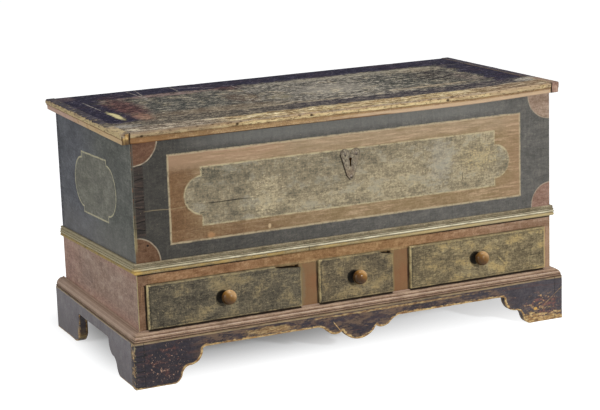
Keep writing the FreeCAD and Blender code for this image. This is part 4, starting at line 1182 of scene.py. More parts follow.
def bracketPiece(name, stretches, toWorld, finish, replaced, seed):
    # columns run from the lower outline up to the top edge; near the outline each point falls back by the
    # reach less the root of reach squared less nearness squared, and by small dents
    thickness, worn = base["thickness"], base["worn"]
    lower, upper = [], []
    for number, stretch in enumerate(stretches):
        share = lengthShare(stretch)[:, None]
        first, last = stretch[0, 0], stretch[-1, 0]
        top = np.concatenate([first + (last - first) * share, np.full_like(share, bracketTop)], 1)
        keep = slice(0 if number == 0 else 1, None)
        lower.append(stretch[keep])
        upper.append(top[keep])
    lower, upper = np.concatenate(lower), np.concatenate(upper)
    edge = np.concatenate([[[lower[0, 0], bracketTop]], lower, [[lower[-1, 0], bracketTop]]])
    steps = np.array([0.0, 0.0003, 0.0008, 0.0015, 0.0024, 0.0036, 0.0055, 0.008, 0.012, 0.017, 0.024,
                      0.032])
    length = np.linalg.norm(upper - lower, axis=1)[:, None]
    first = np.minimum(steps[None, :], length * 0.9)
    rest = first[:, -1:] + (length - first[:, -1:]) * np.linspace(0, 1, 9)[None, 1:]
    shares = np.concatenate([first, rest], 1) / np.maximum(length, 1e-9)
    flat = lower[:, None, :] + (upper - lower)[:, None, :] * shares[..., None]
    gap = distanceTo(flat.reshape(-1, 2), edge).reshape(flat.shape[:2])
    ripple = np.concatenate([flat, np.zeros(flat.shape[:2] + (1,))], -1)
    reach = worn * (1 + 0.5 * softNoise(ripple, 0.03, seed, 2))
    fall = roundOver(gap, reach) + 0.0007 * dents(ripple, 0.02, seed + 3, 0.4)
    fall = fall + 0.0004 * softNoise(ripple, 0.12, seed + 4)
    nibble = 0.0008 * softNoise(ripple[:, :1], 0.012, seed + 5, 3) * np.clip(1 - shares * 25, 0, 1)
    flat[..., 1] = np.where(lower[:, None, 1] > 0.001, flat[..., 1] + nibble, flat[..., 1])
    front = np.concatenate([flat, np.maximum(fall, 0.0)[..., None]], -1)
    back = np.concatenate([flat, (thickness - np.minimum(fall, worn))[..., None]], -1)
    bottom = np.stack([front[:, 0], front[:, 0] * 0.9 + back[:, 0] * 0.1, front[:, 0] * 0.4 + back[:, 0]
                       * 0.6, back[:, 0]], 1)
    top = np.stack([front[:, -1], back[:, -1]], 1)
    patches = [{"grid": toWorld(front), "marks": {"edge": gap}},
               {"grid": toWorld(back), "marks": {"edge": gap}},
               {"grid": toWorld(bottom), "marks": {"edge": np.array([[0.0, 0.007, 0.01, 0.0]])}},
               {"grid": toWorld(top), "marks": {"edge": 0.02}}]
    for row in (0, -1):
        patches.append({"grid": toWorld(np.stack([front[row], back[row]], 0)),
                        "marks": {"edge": np.stack([gap[row], gap[row]], 0) + 0.004}})
    return makePiece(name, patches, "chest", finish, replaced, 38)


def bracketWear(paint, x, y, z, vector, onRail, isSide):
    # 1 where paint is worn off to the wood: at the edges, on the right foot and the rail, in scratches
    edge = paint.mark("edge")
    upright = ease(abs(x), baseHigh.x - 0.012, baseHigh.x - 0.007) * ease(z, 0.004, 0.012)
    reach = onRail * 0.0022 + 0.005
    bare = rubbedFrom(paint, upright * 0.0035 + edge, reach, vector, 3.2)
    low = (noise(vector, (18.0, 60.0, 60.0), 6.0, 0.75) - 0.5) * 0.11 + z
    footRight = (ease(noise(vector, (50.0, 150.0, 150.0), 5.0, 0.75), 0.43, 0.52)
                 * ease(low, 0.032, 0.018) * ease(x, 0.5, 0.52) * ease(y, caseFront, caseFront - 0.002))
    strip = patchAt(paint, (-0.262, -0.324, 0.1045), (0.07, 0.03, 0.009), 2.6)
    topStrip = patchAt(paint, (0.1, -0.324, 0.113), (0.25, 0.03, 0.003), 2.4) * 0.6
    ragged = noise(vector, (60.0,) * 3, 5.0, 0.72) * 0.01 - 0.005
    slope = (ease(edge + ragged, 0.0085, 0.0055) * window(x, -0.53, -0.5, -0.45, -0.43)
             * ease(z, 0.018, 0.03) * 0.9)
    slash = abs((x + 0.0645) * 1.35 + (z - 0.08))
    scratch = ease(slash, 0.0026, 0.001) * window(x, -0.079, -0.074, -0.053, -0.048)
    lowSlash = abs(z - 0.047 - (x - 0.578) * 0.75)
    lowScratch = (ease(lowSlash, 0.0016, 0.0005) * ease(x, 0.573, 0.58)
                  * ease(y, caseFront, caseFront - 0.002) * 0.6)
    rearEdge = baseHigh.y - base["rearFoot"]
    rearWear = (isSide * window(y, rearEdge - 0.002, rearEdge + 0.004, rearEdge + 0.006, rearEdge + 0.02)
                * ease(z, 0.06, 0.03))
    return most(bare, footRight * 0.95, strip * 0.6, topStrip, slope, scratch, lowScratch, rearWear)


def makeBracketFinish():
    # black paint, greyer on the sides, worn to the wood at its edges
    paint = newFinish("bracketPaint")
    x, y, z = split(paint.place)
    vector = join(x + y, y, z)
    grain = paint.use("grain", {"Vector": vector})
    blotch, thread = grain["Blotch"], grain["Thread"]
    dark, level = agedAndLevel(paint, vector, "#121014", "#27232a", "#3f383b")
    grey = aged(paint, vector, "#484449", "#5e595c", "#787473")
    isSide = ease(y, caseFront - 0.001, caseFront + 0.001)
    paler = most(ease(blotch * 0.3 + x, 0.5, 0.75) * 0.3, isSide * 0.95)
    colour = blend(paler, dark, grey)
    sideFoot = isSide * ease(z, 0.09, 0.03) * 0.35
    colour = layers(colour,
        (sideFoot, "#4a4547"),
        (ease(thread, 0.53, 0.64) * 0.4, "#54372f"))
    onRail = ease(abs(x), 0.5, 0.42) * ease(y, caseFront, caseFront - 0.002)
    browned = ease(noise(vector, (22.0, 70.0, 70.0), 6.0, 0.74), 0.46, 0.6)
    colour = blend(onRail * browned * 0.55, colour, "#78604a")
    red = noise(vector, (45.0, 75.0, 75.0), 6.0, 0.78)
    footLeft = patchAt(paint, (-0.56, -0.324, 0.06), (0.06, 0.02, 0.06), 2.0)
    colour = layers(colour,
        (footLeft * 0.45, "#151217"),
        (footLeft * ease(red, 0.54, 0.62) * 0.6, "#5c3b34"))
    flecks = noise(vector, (130.0, 130.0, 130.0), 4.0, 0.78)
    colour = layers(colour,
        (footLeft * ease(flecks, 0.595, 0.65) * 0.9, "#c79f86"),
        (ease(red, 0.6, 0.7) * 0.35, "#523a33"),
        (ease(flecks, 0.64, 0.7) * 0.6, "#8f7258"))
    rightRed = patchAt(paint, (0.572, -0.324, 0.045), (0.055, 0.02, 0.04), 2.2)
    colour = layers(colour,
        (rightRed * ease(red, 0.5, 0.6) * 0.7, "#7d5348"),
        (rightRed * ease(noise(vector, (70.0, 150.0, 150.0), 5.0, 0.78), 0.56, 0.62) * 0.85, "#b89467"))
    worn = bracketWear(paint, x, y, z, vector, onRail, isSide)
    wood = ramp(noise(vector, (50.0, 160.0, 160.0), 5.0, 0.72), (0.36, "#664329"), (0.47, "#99774a"),
                (0.6, "#cbb07d"))
    colour = blend(worn, colour, wood)
    spot = patchAt(paint, (0.551, -0.324, 0.0405), (0.006, 0.02, 0.0045), 0.6)
    colour = blend(spot * 0.9, colour, "#c79a52")
    topLine = ease(z, bracketTop - 0.0036, bracketTop - 0.0022) * ease(blotch, 0.3, 0.5)
    colour = blend(topLine * 0.7, colour, "#a38e6c")

    joint = pinLines(paint, z, ease(y, baseLow.y, caseFront), pins["basePitch"], pins["wide"])
    wide = abs(x)
    isFront = (ease(y, baseLow.y + 0.004, baseLow.y + 0.003)
               * ease(wide, baseHigh.x - 0.0265, baseHigh.x - 0.0255))
    isEnd = ease(wide, baseHigh.x - 0.004, baseHigh.x - 0.003) * ease(y, caseFront + 0.0005, caseFront)
    lines = joint["Line"] * most(isFront, isEnd)
    colour = blend(lines * ease(x, 0.3, 0.0) * 0.9, colour, "#0a0909")
    seam = near(y, caseFront, 0.0022, 0.001) * ease(wide, baseHigh.x - 0.004, baseHigh.x - 0.003)
    colour = blend(seam * 0.95, colour, "#0a0909")
    root = (near(wide, baseHigh.x - 0.026, 0.0016, 0.0007)
            * ease(y, baseLow.y + 0.004, baseLow.y + 0.003) * ease(blotch, 0.42, 0.5))
    colour = blend(root * 0.8, colour, "#0a0909")
    corner = rubbedFrom(paint, baseHigh.x - wide + (y - baseLow.y), 0.0032, vector)
    colour = layers(colour,
        (corner * ease(x, 0.2, 0.0) * 0.65, "#a69978"),
        (patchAt(paint, (-0.612, -0.324, 0.091), (0.0032, 0.02, 0.0032), 0.0), "#030303"))
    inside = (ease(y, caseFront - 0.004, caseFront - 0.002)
              * ease(wide, caseHalf + 0.004, caseHalf + 0.002))
    rawWood = woodColour(paint, vector, "#3a281b", "#644930")
    colour = blend(inside, colour, rawWood)
    rough = blotch * 0.3 + 0.4
    height = level["Height"] - lines * 1.5
    return closeFinish(paint, colour, rough, height, 0.0006, 0.9, gloss=0.2)


drawers = {
    "lip": 0.005, "lipGap": 0.0003, "lipDepth": 0.009, "round": 0.0035, "tongue": 0.013,
    "soleGap": 0.0015, "topGap": 0.002, "sideGap": 0.0017, "quirkAt": 0.0062, "chipDrop": 0.007,
    "chips": {"left": 0.074, "middle": 0.036, "right": 0.0}, "knobHeight": 0.063,
}


def drawerSpans():
    # each drawer's left and right ends without its lips
    spans = {}
    for name in ("left", "middle", "right"):
        low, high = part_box("drawer_%s_front" % name)
        spans[name] = (low.x + drawers["lip"], high.x - drawers["lip"])
    return spans


def edgeLines(low, high, spacing):
    # grid lines crowded near both ends, even between
    crowded = 0.001 * np.array([0, 0.15, 0.5, 1.0, 1.7, 2.5, 3.5, 4.6, 5.3, 5.8, 6.2, 6.6, 7.1, 8.0, 10.0])
    count = max(2, int((high - low - 2 * crowded[-1]) / spacing))
    even = np.linspace(low + crowded[-1], high - crowded[-1], count + 1)
    return np.concatenate([low + crowded[:-1], even, (high - crowded[:-1])[::-1]])


def rimIndices(columns, rows):
    # the outermost points of a grid, once round from its first corner
    i, j = np.arange(columns), np.arange(rows)
    first = np.concatenate([i, np.full(rows - 1, columns - 1), i[-2::-1], np.zeros(rows - 2, int)])
    second = np.concatenate([0 * i, j[1:], np.full(columns - 1, rows - 1), j[-2:0:-1]])
    return first, second


def drawerFront(name, span, finish, seed):
    # height field over the front face: a quarter circle at the lip, inside it a groove whose depth falls
    # off as exp of minus the distance squared, gentle waves and small dents
    low, high = span
    x0, x1 = low - drawers["lip"], high + drawers["lip"]
    z0, z1 = deckHigh.z + drawers["soleGap"], openingTop + drawers["lip"]
    lipBack = caseFront - drawers["lipGap"]
    face = lipBack - drawers["lipDepth"]
    xs, zs = edgeLines(x0, x1, 0.005), edgeLines(z0, z1, 0.005)
    x, z = np.meshgrid(xs, zs, indexing="ij")
    gap = np.minimum(np.minimum(x - x0, x1 - x), np.minimum(z - z0, z1 - z))
    flat = np.stack([x, np.zeros_like(x), z], -1)
    y = face + roundOver(gap, drawers["round"])
    y = y + 0.0005 * np.exp(-((gap - drawers["quirkAt"]) / 0.0005) ** 2)
    y = (y + 0.00025 * softNoise(flat, 0.11, seed) + 0.0006 * dents(flat, 0.02, seed + 1, 0.3)
         * (gap < 0.006))
    y = np.maximum(y, face - 0.0001)

    chip = drawers["chips"][name]

    def chipLimit(px, pz):
        if chip == 0:
            return pz
        start, end = x1 - chip, x1 + drawers["lip"]
        share = (px - start) / (end - start)
        jag = 0.0007 * softNoise(np.stack([px, 0 * px, 0 * px], -1), 0.006, seed + 7, 2)
        limit = np.where(share > 0, openingTop - drawers["chipDrop"] * share + jag, 9.0)
        return np.minimum(pz, limit)
    frontGrid = np.stack([x, y, chipLimit(x, z)], -1)

    i, j = rimIndices(len(xs), len(zs))
    ring = np.stack([x[i, j], y[i, j], z[i, j]], -1)
    t0, t1 = low + drawers["sideGap"], high - drawers["sideGap"]
    b0, b1 = z0, openingTop - drawers["topGap"]
    tx = np.clip(t0 + (ring[:, 0] - x0) / (x1 - x0) * (t1 - t0), t0, t1)
    tz = np.clip(b0 + (ring[:, 2] - z0) / (z1 - z0) * (b1 - b0), b0, b1)
    rings = [ring, np.stack([ring[:, 0], np.full(len(ring), lipBack), ring[:, 2]], -1),
             np.stack([tx, np.full(len(ring), lipBack), tz], -1),
             np.stack([tx, np.full(len(ring), caseFront + drawers["tongue"]), tz], -1)]
    rings = np.stack(rings, 0)
    rings[..., 2] = chipLimit(rings[..., 0], rings[..., 2])
    patches = [{"grid": frontGrid, "marks": {"rim": gap}},
               {"grid": rings, "wrap": (False, True), "caps": (-1,),
                "marks": {"rim": np.array([0, 0.002, 0.05, 0.05])[:, None]}}]
    return makePiece("drawer_%s_frontOwn" % name, patches, "drawer_" + name, finish,
                     ("drawer_%s_front" % name,), 40)


def makeDrawerFinish(name, span, shades, ochre):
    # mottled olive with rubbed edges, a painted shadow left of the knob, and painted shade along the foot
    # and in the chip at the top
    paint = newFinish("drawerPaint" + name.capitalize())
    x, y, z = split(paint.place)
    rimGap = paint.mark("rim")
    grain = paint.use("grain", {"Vector": paint.place})
    low, middle = deckHigh.z, (span[0] + span[1]) / 2
    knob = patchAt(paint, (middle, 0, low + 0.03), (0.07, 9, 0.02), 2.0)
    shift = knob * 0.035 + ease(x, middle - 0.3, middle + 0.3) * 0.03
    shift = patchAt(paint, (middle - 0.03, 0, low + 0.095), (0.12, 9, 0.02), 2.0) * 0.025 + shift
    shift = shift - 0.015
    colour, level = agedAndLevel(paint, paint.place, *shades, shift)
    yellow = ease(level["Cloud"], 0.46, 0.62) * ease(level["Level"], 0.35, 0.8) * ochre
    colour = blend(yellow, colour, "#a58a52")
    flecks = noise(join(x + z, y, z), (60.0, 200.0, 230.0), 5.0, 0.75)
    colour = layers(colour,
        (ease(flecks, 0.58, 0.66) * 0.6, shades[2]),
        (ease(flecks, 0.42, 0.35) * 0.6, "#26251f"))
    if name == "right":
        slash = abs(x - 0.4525 - (z - 0.192) * -0.9)
        mark = (ease(slash, 0.004, 0.0015) * window(z, 0.178, 0.184, 0.2, 0.207)
                * ease(grain["Thread"], 0.4, 0.52))
        colour = blend(mark * 0.45, colour, "#cdb57c")
    leftLow = most(ease(x, span[0] + 0.008, span[0] + 0.003), ease(z, low + 0.01, low + 0.006) * 0.5)
    worn = rubbedFrom(paint, rimGap, 0.004, paint.place)
    colour = blend(worn * (leftLow * 0.5 + 0.3), colour, "#8f7f5c")
    bright = ease(rimGap, 0.0036, 0.0018) * ease(noise(paint.place, (60.0,) * 3, 5.0, 0.72), 0.44, 0.58)
    colour = blend(bright * (leftLow * 0.55 + 0.25), colour, "#b9a97e")
    scribe = near(rimGap, drawers["quirkAt"], 0.0014, 0.0005)
    colour = layers(colour,
        (scribe * (leftLow * 0.5 + 0.25), "#23211a"),
        (ease(grain["Speck"], 0.64, 0.71) * 0.6, "#b7a67a"))
    # painted shadow of the knob, left of its foot, and painted shade along the lower edge under the lip
    knobShadow = discGap(paint, x, z, (middle - 0.0108, low + drawers["knobHeight"] - 0.001, 0.0168))
    colour = blend(ease(knobShadow, 0.0035, -0.001) * 0.93, colour, "#0b0907")
    lipFootShade = ease(z + (level["Cloud"] - 0.5) * 0.006, low + 0.0042, low + 0.0022)
    colour = blend(lipFootShade * 0.85, colour, "#15120d")
    wood = woodColour(paint, paint.place)
    # painted shade: the chipped top of the front and the tongue behind it are dark, as the opening above
    # is in shade
    broken = (ease(y, caseFront - 0.0088, caseFront - 0.008)
              * window(z, openingTop - 0.012, openingTop - 0.009, openingTop + 0.001, openingTop
                       + 0.0025) * ease(x, span[1] - 0.12, span[1] - 0.1))
    colour = blend(broken * 0.93, colour, "#0d0906")
    wood = blend(ease(z, openingTop - 0.014, openingTop - 0.01)
                 * ease(y, caseFront + 0.012, caseFront + 0.01) * 0.85, wood, "#120c08")
    colour = blend(ease(y, caseFront - 0.0012, caseFront - 0.0006), colour, wood)
    rough = grain["Blotch"] * 0.3 + 0.42
    return closeFinish(paint, colour, rough, level["Height"], 0.0006, 0.9)


knobShape = {"tenon": 0.006, "stem": 0.009, "radius": 0.020, "crown": 0.016, "reach": 0.036,
             "seat": 0.0093, "tail": 0.017}


def makeKnob(name, x, z, finish, seed):
    # turned profile carried round the Y axis: tenon, waisted stem, rolled underside and domed crown;
    # at angle t the crown stands out by the radius times cos t to the power 0.9, and forward by its
    # height times sin t
    k = knobShape
    face, tail = caseFront - k["seat"], caseFront + k["tail"]
    tip = face - k["reach"]
    widest = tip + k["crown"]
    turn = np.linspace(0, math.pi / 2, 18)
    crown = np.stack([k["radius"] * np.cos(turn) ** 0.9, widest - k["crown"] * np.sin(turn)], -1)
    under = arcPoints((k["stem"] - 0.0006, face - 0.0075), (k["stem"] + 0.0035, face - 0.0125),
                      (k["radius"] - 0.0012, widest + 0.0042), 10)
    roll = arcPoints((k["radius"] - 0.0012, widest + 0.0042), (k["radius"] - 0.0001, widest + 0.0024),
                     (k["radius"], widest), 5)
    foot = arcPoints((k["stem"] + 0.0012, face), (k["stem"] - 0.0002, face - 0.0022),
                     (k["stem"] - 0.0006, face - 0.0075), 7)
    outline = np.concatenate([[[0.0, tail], [k["tenon"], tail], [k["tenon"], face]], foot, under[1:],
                            roll[1:], crown[1:]])
    outline[-1, 0] = 0.0
    angle = np.linspace(0, 2 * math.pi, 72, endpoint=False)[None, :]
    radius, y = outline[:, :1], outline[:, 1:]
    wobble = 1 + 0.006 * np.sin(angle * 2 + seed) + 0.003 * np.sin(angle * 5 + seed * 2)
    grid = np.stack([x + radius * wobble * np.cos(angle), y + 0 * angle, z + radius * wobble
                     * np.sin(angle)], -1)
    marks = {"across": lengthShare(outline)[:, None], "up": radius / k["radius"] * np.sin(angle),
             "right": radius / k["radius"] * np.cos(angle)}
    return makePiece("drawer_%s_knobOwn" % name, [{"grid": grid, "wrap": (False, True), "marks": marks}],
                     "drawer_" + name, finish, ("drawer_%s_knob" % name,), 50)


def makeKnobFinish():
    paint = newFinish("knobPolish")
    grain = paint.use("grain", {"Vector": paint.place})
    rings = noise(join(paint.mark("across"), 0.0, 0.0), (90.0, 1.0, 1.0), 2.0)
    # polished brown wood, painted lighter at the top and right and darker on the underside and left:
    # painted light and shade, with a painted highlight at the top
    knobShading = paint.mark("up") * 0.66 + paint.mark("right") * 0.62
    x = split(paint.place)[0]
    lighter = ease(x, -0.1, -0.3) * 0.15 + ease(x, 0.1, 0.3) * 0.12
    knobShading = knobShading * 0.55 + (lighter + 0.44)
    colour = ramp(knobShading, (0.15, "#1a0e06"), (0.42, "#45290f"), (0.66, "#7c5623"), (0.9, "#c09c70"))
    colour = layers(colour,
        (ease(rings, 0.45, 0.6) * 0.25, "#9a7038"),
        (ease(grain["Blotch"], 0.5, 0.62) * 0.4, "#5a4020"),
        (ease(grain["Speck"], 0.62, 0.7) * 0.5, "#35230f"))
    rough = grain["Blotch"] * 0.25 + 0.26
    return closeFinish(paint, colour, rough, rings, 0.0002, 0.5, 0.06, Coat_Weight=0.22,
                       Coat_Roughness=0.14)


def makeLidBoard(finish):
    # box with rounded edges as two height fields over the same grid; the top falls by a quarter circle at
    # the edges, by broad hollows and by small dents, and its back edge is worn away
    low, high = lidLow, lidHigh
    xs, ys = edgeLines(low.x, high.x, 0.007), edgeLines(low.y, high.y, 0.006)
    x, y = np.meshgrid(xs, ys, indexing="ij")
    gap = np.minimum(np.minimum(x - low.x, high.x - x), np.minimum(y - low.y, high.y - y))
    fall = roundOver(gap, lidTop["round"])
    flat = np.stack([x * 0.25, y, 0 * x], -1)
    top = (high.z - fall - 0.0005 - 0.0005 * softNoise(flat, 0.06, 5) - 0.0008
           * dents(flat * 3, 0.03, 9, 0.45))
    backEdge = np.clip((y - (high.y - 0.004)) / 0.004, 0, 1)
    top = top - backEdge * 0.0012 * (1 + softNoise(flat, 0.02, 21, 3))
    rise = lidRise(x, y)
    upper = np.stack([x, y, top + rise], -1)
    lower = np.stack([x, y, low.z + fall + rise], -1)
    i, j = rimIndices(len(xs), len(ys))
    wall = np.stack([upper[i, j], lower[i, j]], 0)
    return makePiece("lid_boardOwn",
                     [{"grid": upper, "marks": {"under": 0.0}},
                      {"grid": lower, "marks": {"under": 1.0}},
                      {"grid": wall, "wrap": (False, True),
                       "marks": {"under": np.array([[0.0], [1.0]])}}], "lid", finish,
                     ("lid_board",), 40)


lidTop = {
    "round": 0.0008,
    # centre, half axes, colour and strength
    "fieldSpots": (((-0.34, 0.03), (0.15, 0.085), "#383a38", 0.6),
                   ((0.35, 0.03), (0.17, 0.095), "#2f312f", 0.92),
                   ((-0.17, 0.02), (0.045, 0.07), "#5c4535", 0.55),
                   ((-0.08, -0.03), (0.035, 0.035), "#958a6c", 0.5),
                   ((0.1, 0.0), (0.1, 0.075), "#a7a092", 0.45),
                   ((0.44, 0.04), (0.07, 0.1), "#261f21", 0.85),
                   ((-0.3, -0.1), (0.2, 0.035), "#70604e", 0.55),
                   ((0.28, -0.06), (0.12, 0.03), "#51524b", 0.5)),
    "borderSpots": (((-0.33, 0.195), (0.13, 0.024), "#8d7670", 0.75),
                    ((-0.505, -0.1), (0.025, 0.06), "#a07a66", 0.6),
                    ((0.44, 0.16), (0.075, 0.035), "#ac9f88", 0.7),
                    ((0.24, 0.187), (0.28, 0.022), "#a39b88", 0.75),
                    ((0.35, -0.115), (0.13, 0.013), "#b09f85", 0.8),
                    ((0.5, -0.05), (0.03, 0.07), "#8a786f", 0.4),
                    ((-0.1, -0.14), (0.2, 0.013), "#a89a82", 0.6),
                    ((-0.61, -0.215), (0.06, 0.03), "#a09a90", 0.85),
                    ((-0.6, 0.285), (0.03, 0.04), "#5b4e50", 0.7),
                    ((0.6, -0.2), (0.032, 0.03), "#b5ad9e", 1.0)),
    # place along X, lean, and ends along Y
    "scratches": ((-0.42, -0.12, 0.15, 0.32), (-0.387, 0.08, 0.15, 0.3), (-0.301, -0.08, 0.2, 0.32),
                  (-0.12, 0.0, 0.08, 0.23), (-0.57, 0.02, 0.04, 0.2)),
}


def lidField(paint, x, y, level, cloud):
    # the rubbed middle of the lid, pale at its centre, with blotches
    pale = ramp(level, (0.43, "#211f1e"), (0.5, "#64605a"), (0.565, "#bfb6a5"))
    deep = ramp(level, (0.43, "#131313"), (0.5, "#444340"), (0.565, "#9c9484"))
    centre = ease(cloud * 0.6 + abs(x - 0.09), 0.62, 0.36)
    field = blend(centre, deep, pale)
    patchy = noise(join(x, y, 0.0), (16.0, 13.0, 1.0), 5.0, 0.7)
    field = layers(field,
        (ease(patchy, 0.5, 0.36) * 0.6,
         ramp(level, (0.42, "#101112"), (0.5, "#3a3a38"), (0.57, "#82796a"))),
        (ease(patchy, 0.52, 0.62) * 0.5,
         ramp(level, (0.42, "#4a4238"), (0.5, "#8d806b"), (0.57, "#cdbf9f"))),
        (ease(y, -0.05, -0.12) * ease(x, 0.0, -0.2) * 0.6,
         ramp(level, (0.42, "#211a17"), (0.5, "#564c42"), (0.57, "#a5967f"))))
    for spot, size, shade, strength in lidTop["fieldSpots"]:
        mask = patchInPlan(paint, x, y, spot, size) * strength * ease(level, 0.56, 0.46)
        field = blend(mask, field, shade)
    return field


def lidFrontStrip(x, y, level, coarse, finer):
    # the front strip is worn to bare yellow wood where hands rest
    warm = ramp(level, (0.43, "#3d2c1b"), (0.48, "#8a7350"), (0.525, "#bfab82"), (0.575, "#efe4c4"))
    bare = noise(join(x, y, 0.0), (9.0, 26.0, 1.0), 5.0, 0.72)
    warm = layers(warm,
        (ease(bare, 0.5, 0.4) * 0.55, "#96784c"),
        (ease(bare, 0.54, 0.62) * 0.55, "#ecd9a4"))
    cold = ramp(level, (0.43, "#2f2720"), (0.5, "#786b5c"), (0.565, "#cdc1ac"))
    front = blend(ease(coarse * 0.2 + x, -0.3, -0.18), cold, warm)
    tan = ramp(level, (0.42, "#463528"), (0.5, "#7b6650"), (0.58, "#b09c80"))
    front = blend(ease(coarse * 0.3 + x, 0.45, 0.65), front, tan)
    behind = near(y, -0.232, 0.009, 0.003) * ease(x, 0.3, 0.45) * ease(finer, 0.42, 0.52) * 0.6
    front = blend(behind, front, "#b9ad95")
    streaks = noise(join(x, y, 0.0), (18.0, 48.0, 1.0), 5.0, 0.8)
    return layers(front,
        (ease(streaks, 0.485, 0.41) * 0.75, "#4b3a2b"),
        (ease(streaks, 0.53, 0.62) * 0.5, "#ecdfc0"),
        (ease(x, -0.38, -0.56) * ease(streaks, 0.56, 0.46) * 0.5, "#554b44"))


def lidTopColour(paint, x, y):
    # dark border round a rubbed grey-green field, with patches placed in the chest's frame
    coarse = noise(join(x, y, 0.0), (28.0, 56.0, 1.0), 7.0, 0.8)
    finer = noise(join(x, y, 0.0), (90.0, 120.0, 1.0), 6.0, 0.82)
    cloud = noise(join(x, y, 0.0), (9.0, 14.0, 1.0), 5.0, 0.65)
    level = coarse * 0.5 + finer * 0.5
    field = lidField(paint, x, y, level, cloud)
    border = ramp(level, (0.42, "#090812"), (0.5, "#1b1928"), (0.56, "#383445"), (0.62, "#8f8884"))
    border = blend(ease(cloud, 0.5, 0.62) * ease(level, 0.44, 0.52) * 0.4, border, "#3b2c31")
    rag = (coarse - 0.5) * 0.16 + (cloud - 0.5) * 0.1
    dx = abs(x - 0.002) - 0.532
    away = most(dx, y - 0.212) + rag
    colour = blend(ease(away, 0.008, -0.008), border, field)
    shadowed = blend(ease(x, -0.3, 0.0),
                     ramp(level, (0.42, "#1c1817"), (0.5, "#4f4942"), (0.57, "#998d79")),
                     ramp(level, (0.42, "#111013"), (0.5, "#37333a"), (0.57, "#7b7266")))
    frontBand = ease(y + rag, -0.14, -0.165)
    colour = blend(frontBand, colour, shadowed)
    reds = ramp(level, (0.43, "#140b10"), (0.5, "#3a2427"), (0.57, "#7c564f"))
    colour = layers(colour,
        (patchInPlan(paint, x, y, (-0.496, 0.065), (0.043, 0.155)) * 0.9, reds),
        (patchInPlan(paint, x, y, (-0.145, 0.19), (0.04, 0.035)) * 0.7, reds))
    for centre, size, shade, strength in lidTop["borderSpots"]:
        mask = patchInPlan(paint, x, y, centre, size) * ease(level, 0.43, 0.53) * strength
        colour = blend(mask, colour, shade)
    colour = blend(patchInPlan(paint, x, y, (-0.563, -0.052), (0.01, 0.062)) * 0.9, colour, "#d3c795")
    for at, lean, low, high in lidTop["scratches"]:
        aside = y * lean + x - at
        scratch = ease(abs(aside), 0.0038, 0.0012)
        mask = (scratch * window(y, low - 0.01, low + 0.01, high - 0.01, high + 0.01)
                * ease(finer, 0.46, 0.54))
        colour = blend(mask * 0.8, colour, "#a09890")
    slant = abs(x * 0.5 + y - 0.145)
    mask = ease(slant, 0.005, 0.002) * window(x, -0.3, -0.27, -0.19, -0.16) * ease(finer, 0.4, 0.5)
    colour = blend(mask * 0.7, colour, "#90878a")
    strip = ease(y + rag * 0.35, -0.222, -0.236)
    return blend(strip, colour, lidFrontStrip(x, y, level, coarse, finer))


def patchInPlan(paint, x, y, centre, size):
    # ragged oval patch seen from above, with no limit along Z
    return paint.use("softPatch", {"Vector": join(x, y, 0.0), "Centre": centre + (0.0,), "Size": size
                                   + (9.0,), "Break": 2.2})["Mask"]


def makeLidFinish():
    # the painted top over a bare underside
    paint = newFinish("lidPaint")
    x, y = split(paint.place)[:2]
    grain = paint.use("grain", {"Vector": paint.place})
    colour = lidTopColour(paint, x, y)
    colour = blend(ease(grain["Speck"], 0.66, 0.73) * 0.5, colour, "#a79f8c")
    underside = woodColour(paint, paint.place)
    colour = blend(ease(paint.mark("under"), 0.8, 0.95), colour, underside)
    rough = grain["Blotch"] * 0.3 + 0.6
    height = grain["Thread"] + grain["Fine"]
    return closeFinish(paint, colour, rough, height, 0.0004, 0.5, 0.03)


def makeIron(name, dark, light, metal, low, high):
    # dark metal with spots of rust and hammer marks
    paint = newFinish(name)
    grain = paint.use("grain", {"Vector": paint.place})
    hammer = noise(paint.place, (160.0,) * 3, 3.0)
    colour = blend(ease(grain["Blotch"], 0.4, 0.62), dark, light)
    colour = layers(colour,
        (ease(grain["Speck"], 0.56, 0.68) * 0.6, "#5b3d2a"),
        (ease(hammer, 0.58, 0.7) * 0.35, "#8d8272"))
    rough = hammer * (high - low) + low
    return closeFinish(paint, colour, rough, hammer, 0.0006, 0.7, 0.3, Metallic=metal)


def makePlateFinish():
    # rust and rubbed spots on the plate, with painted shade below each nail, round the top of its lobes
    # and along both edges
    paint = newFinish("paintedPlate")
    x, z = split(paint.place)[::2]
    grain = paint.use("grain", {"Vector": paint.place})
    hammer = noise(paint.place, (160.0,) * 3, 3.0)
    spots = noise(paint.place, (130.0,) * 3, 5.0, 0.75)
    colour = ramp(spots, (0.38, "#433b30"), (0.5, "#6c6252"), (0.62, "#90866f"))
    colour = blend(ease(grain["Blotch"], 0.45, 0.6) * 0.35, colour, "#765f48")
    aside = abs(x - plate["middle"])
    lobe = discGap(paint, aside, z, (0.0142, plate["top"] - 0.0142, 0.0142))
    # painted shade inside the rim of each upper lobe
    lobeShade = (ease(lobe, -0.0024, -0.0008) * ease(z, plate["top"] - 0.017, plate["top"] - 0.012)
               * ease(aside, 0.003, 0.006))
    colour = blend(lobeShade * 0.6, colour, "#30231a")
    # painted shadow below each nail head
    for across, down in plate["nails"]:
        away = discGap(paint, x, z,
                       (plate["middle"] + across + 0.0012, plate["top"] - down - 0.0034, 0.003))
        colour = blend(ease(away, 0.0014, -0.0008) * 0.85, colour, "#20160f")
    left, right = plateEdges(x, z)
    # painted shade along both edges, stronger at the left
    colour = layers(colour,
        (ease(left, -0.0022, -0.0008) * 0.85, "#2b1e13"),
        (ease(right, -0.0018, -0.0006) * 0.45, "#35281c"))
    rough = hammer * 0.25 + 0.5
    return closeFinish(paint, colour, rough, hammer, 0.0006, 0.7, 0.3, Metallic=0.15)


def dress(names, finish):
    # gives these nodes one material
    for name in names:
        node = nodes[name]
        node.data.materials.clear()
        node.data.materials.append(finish)


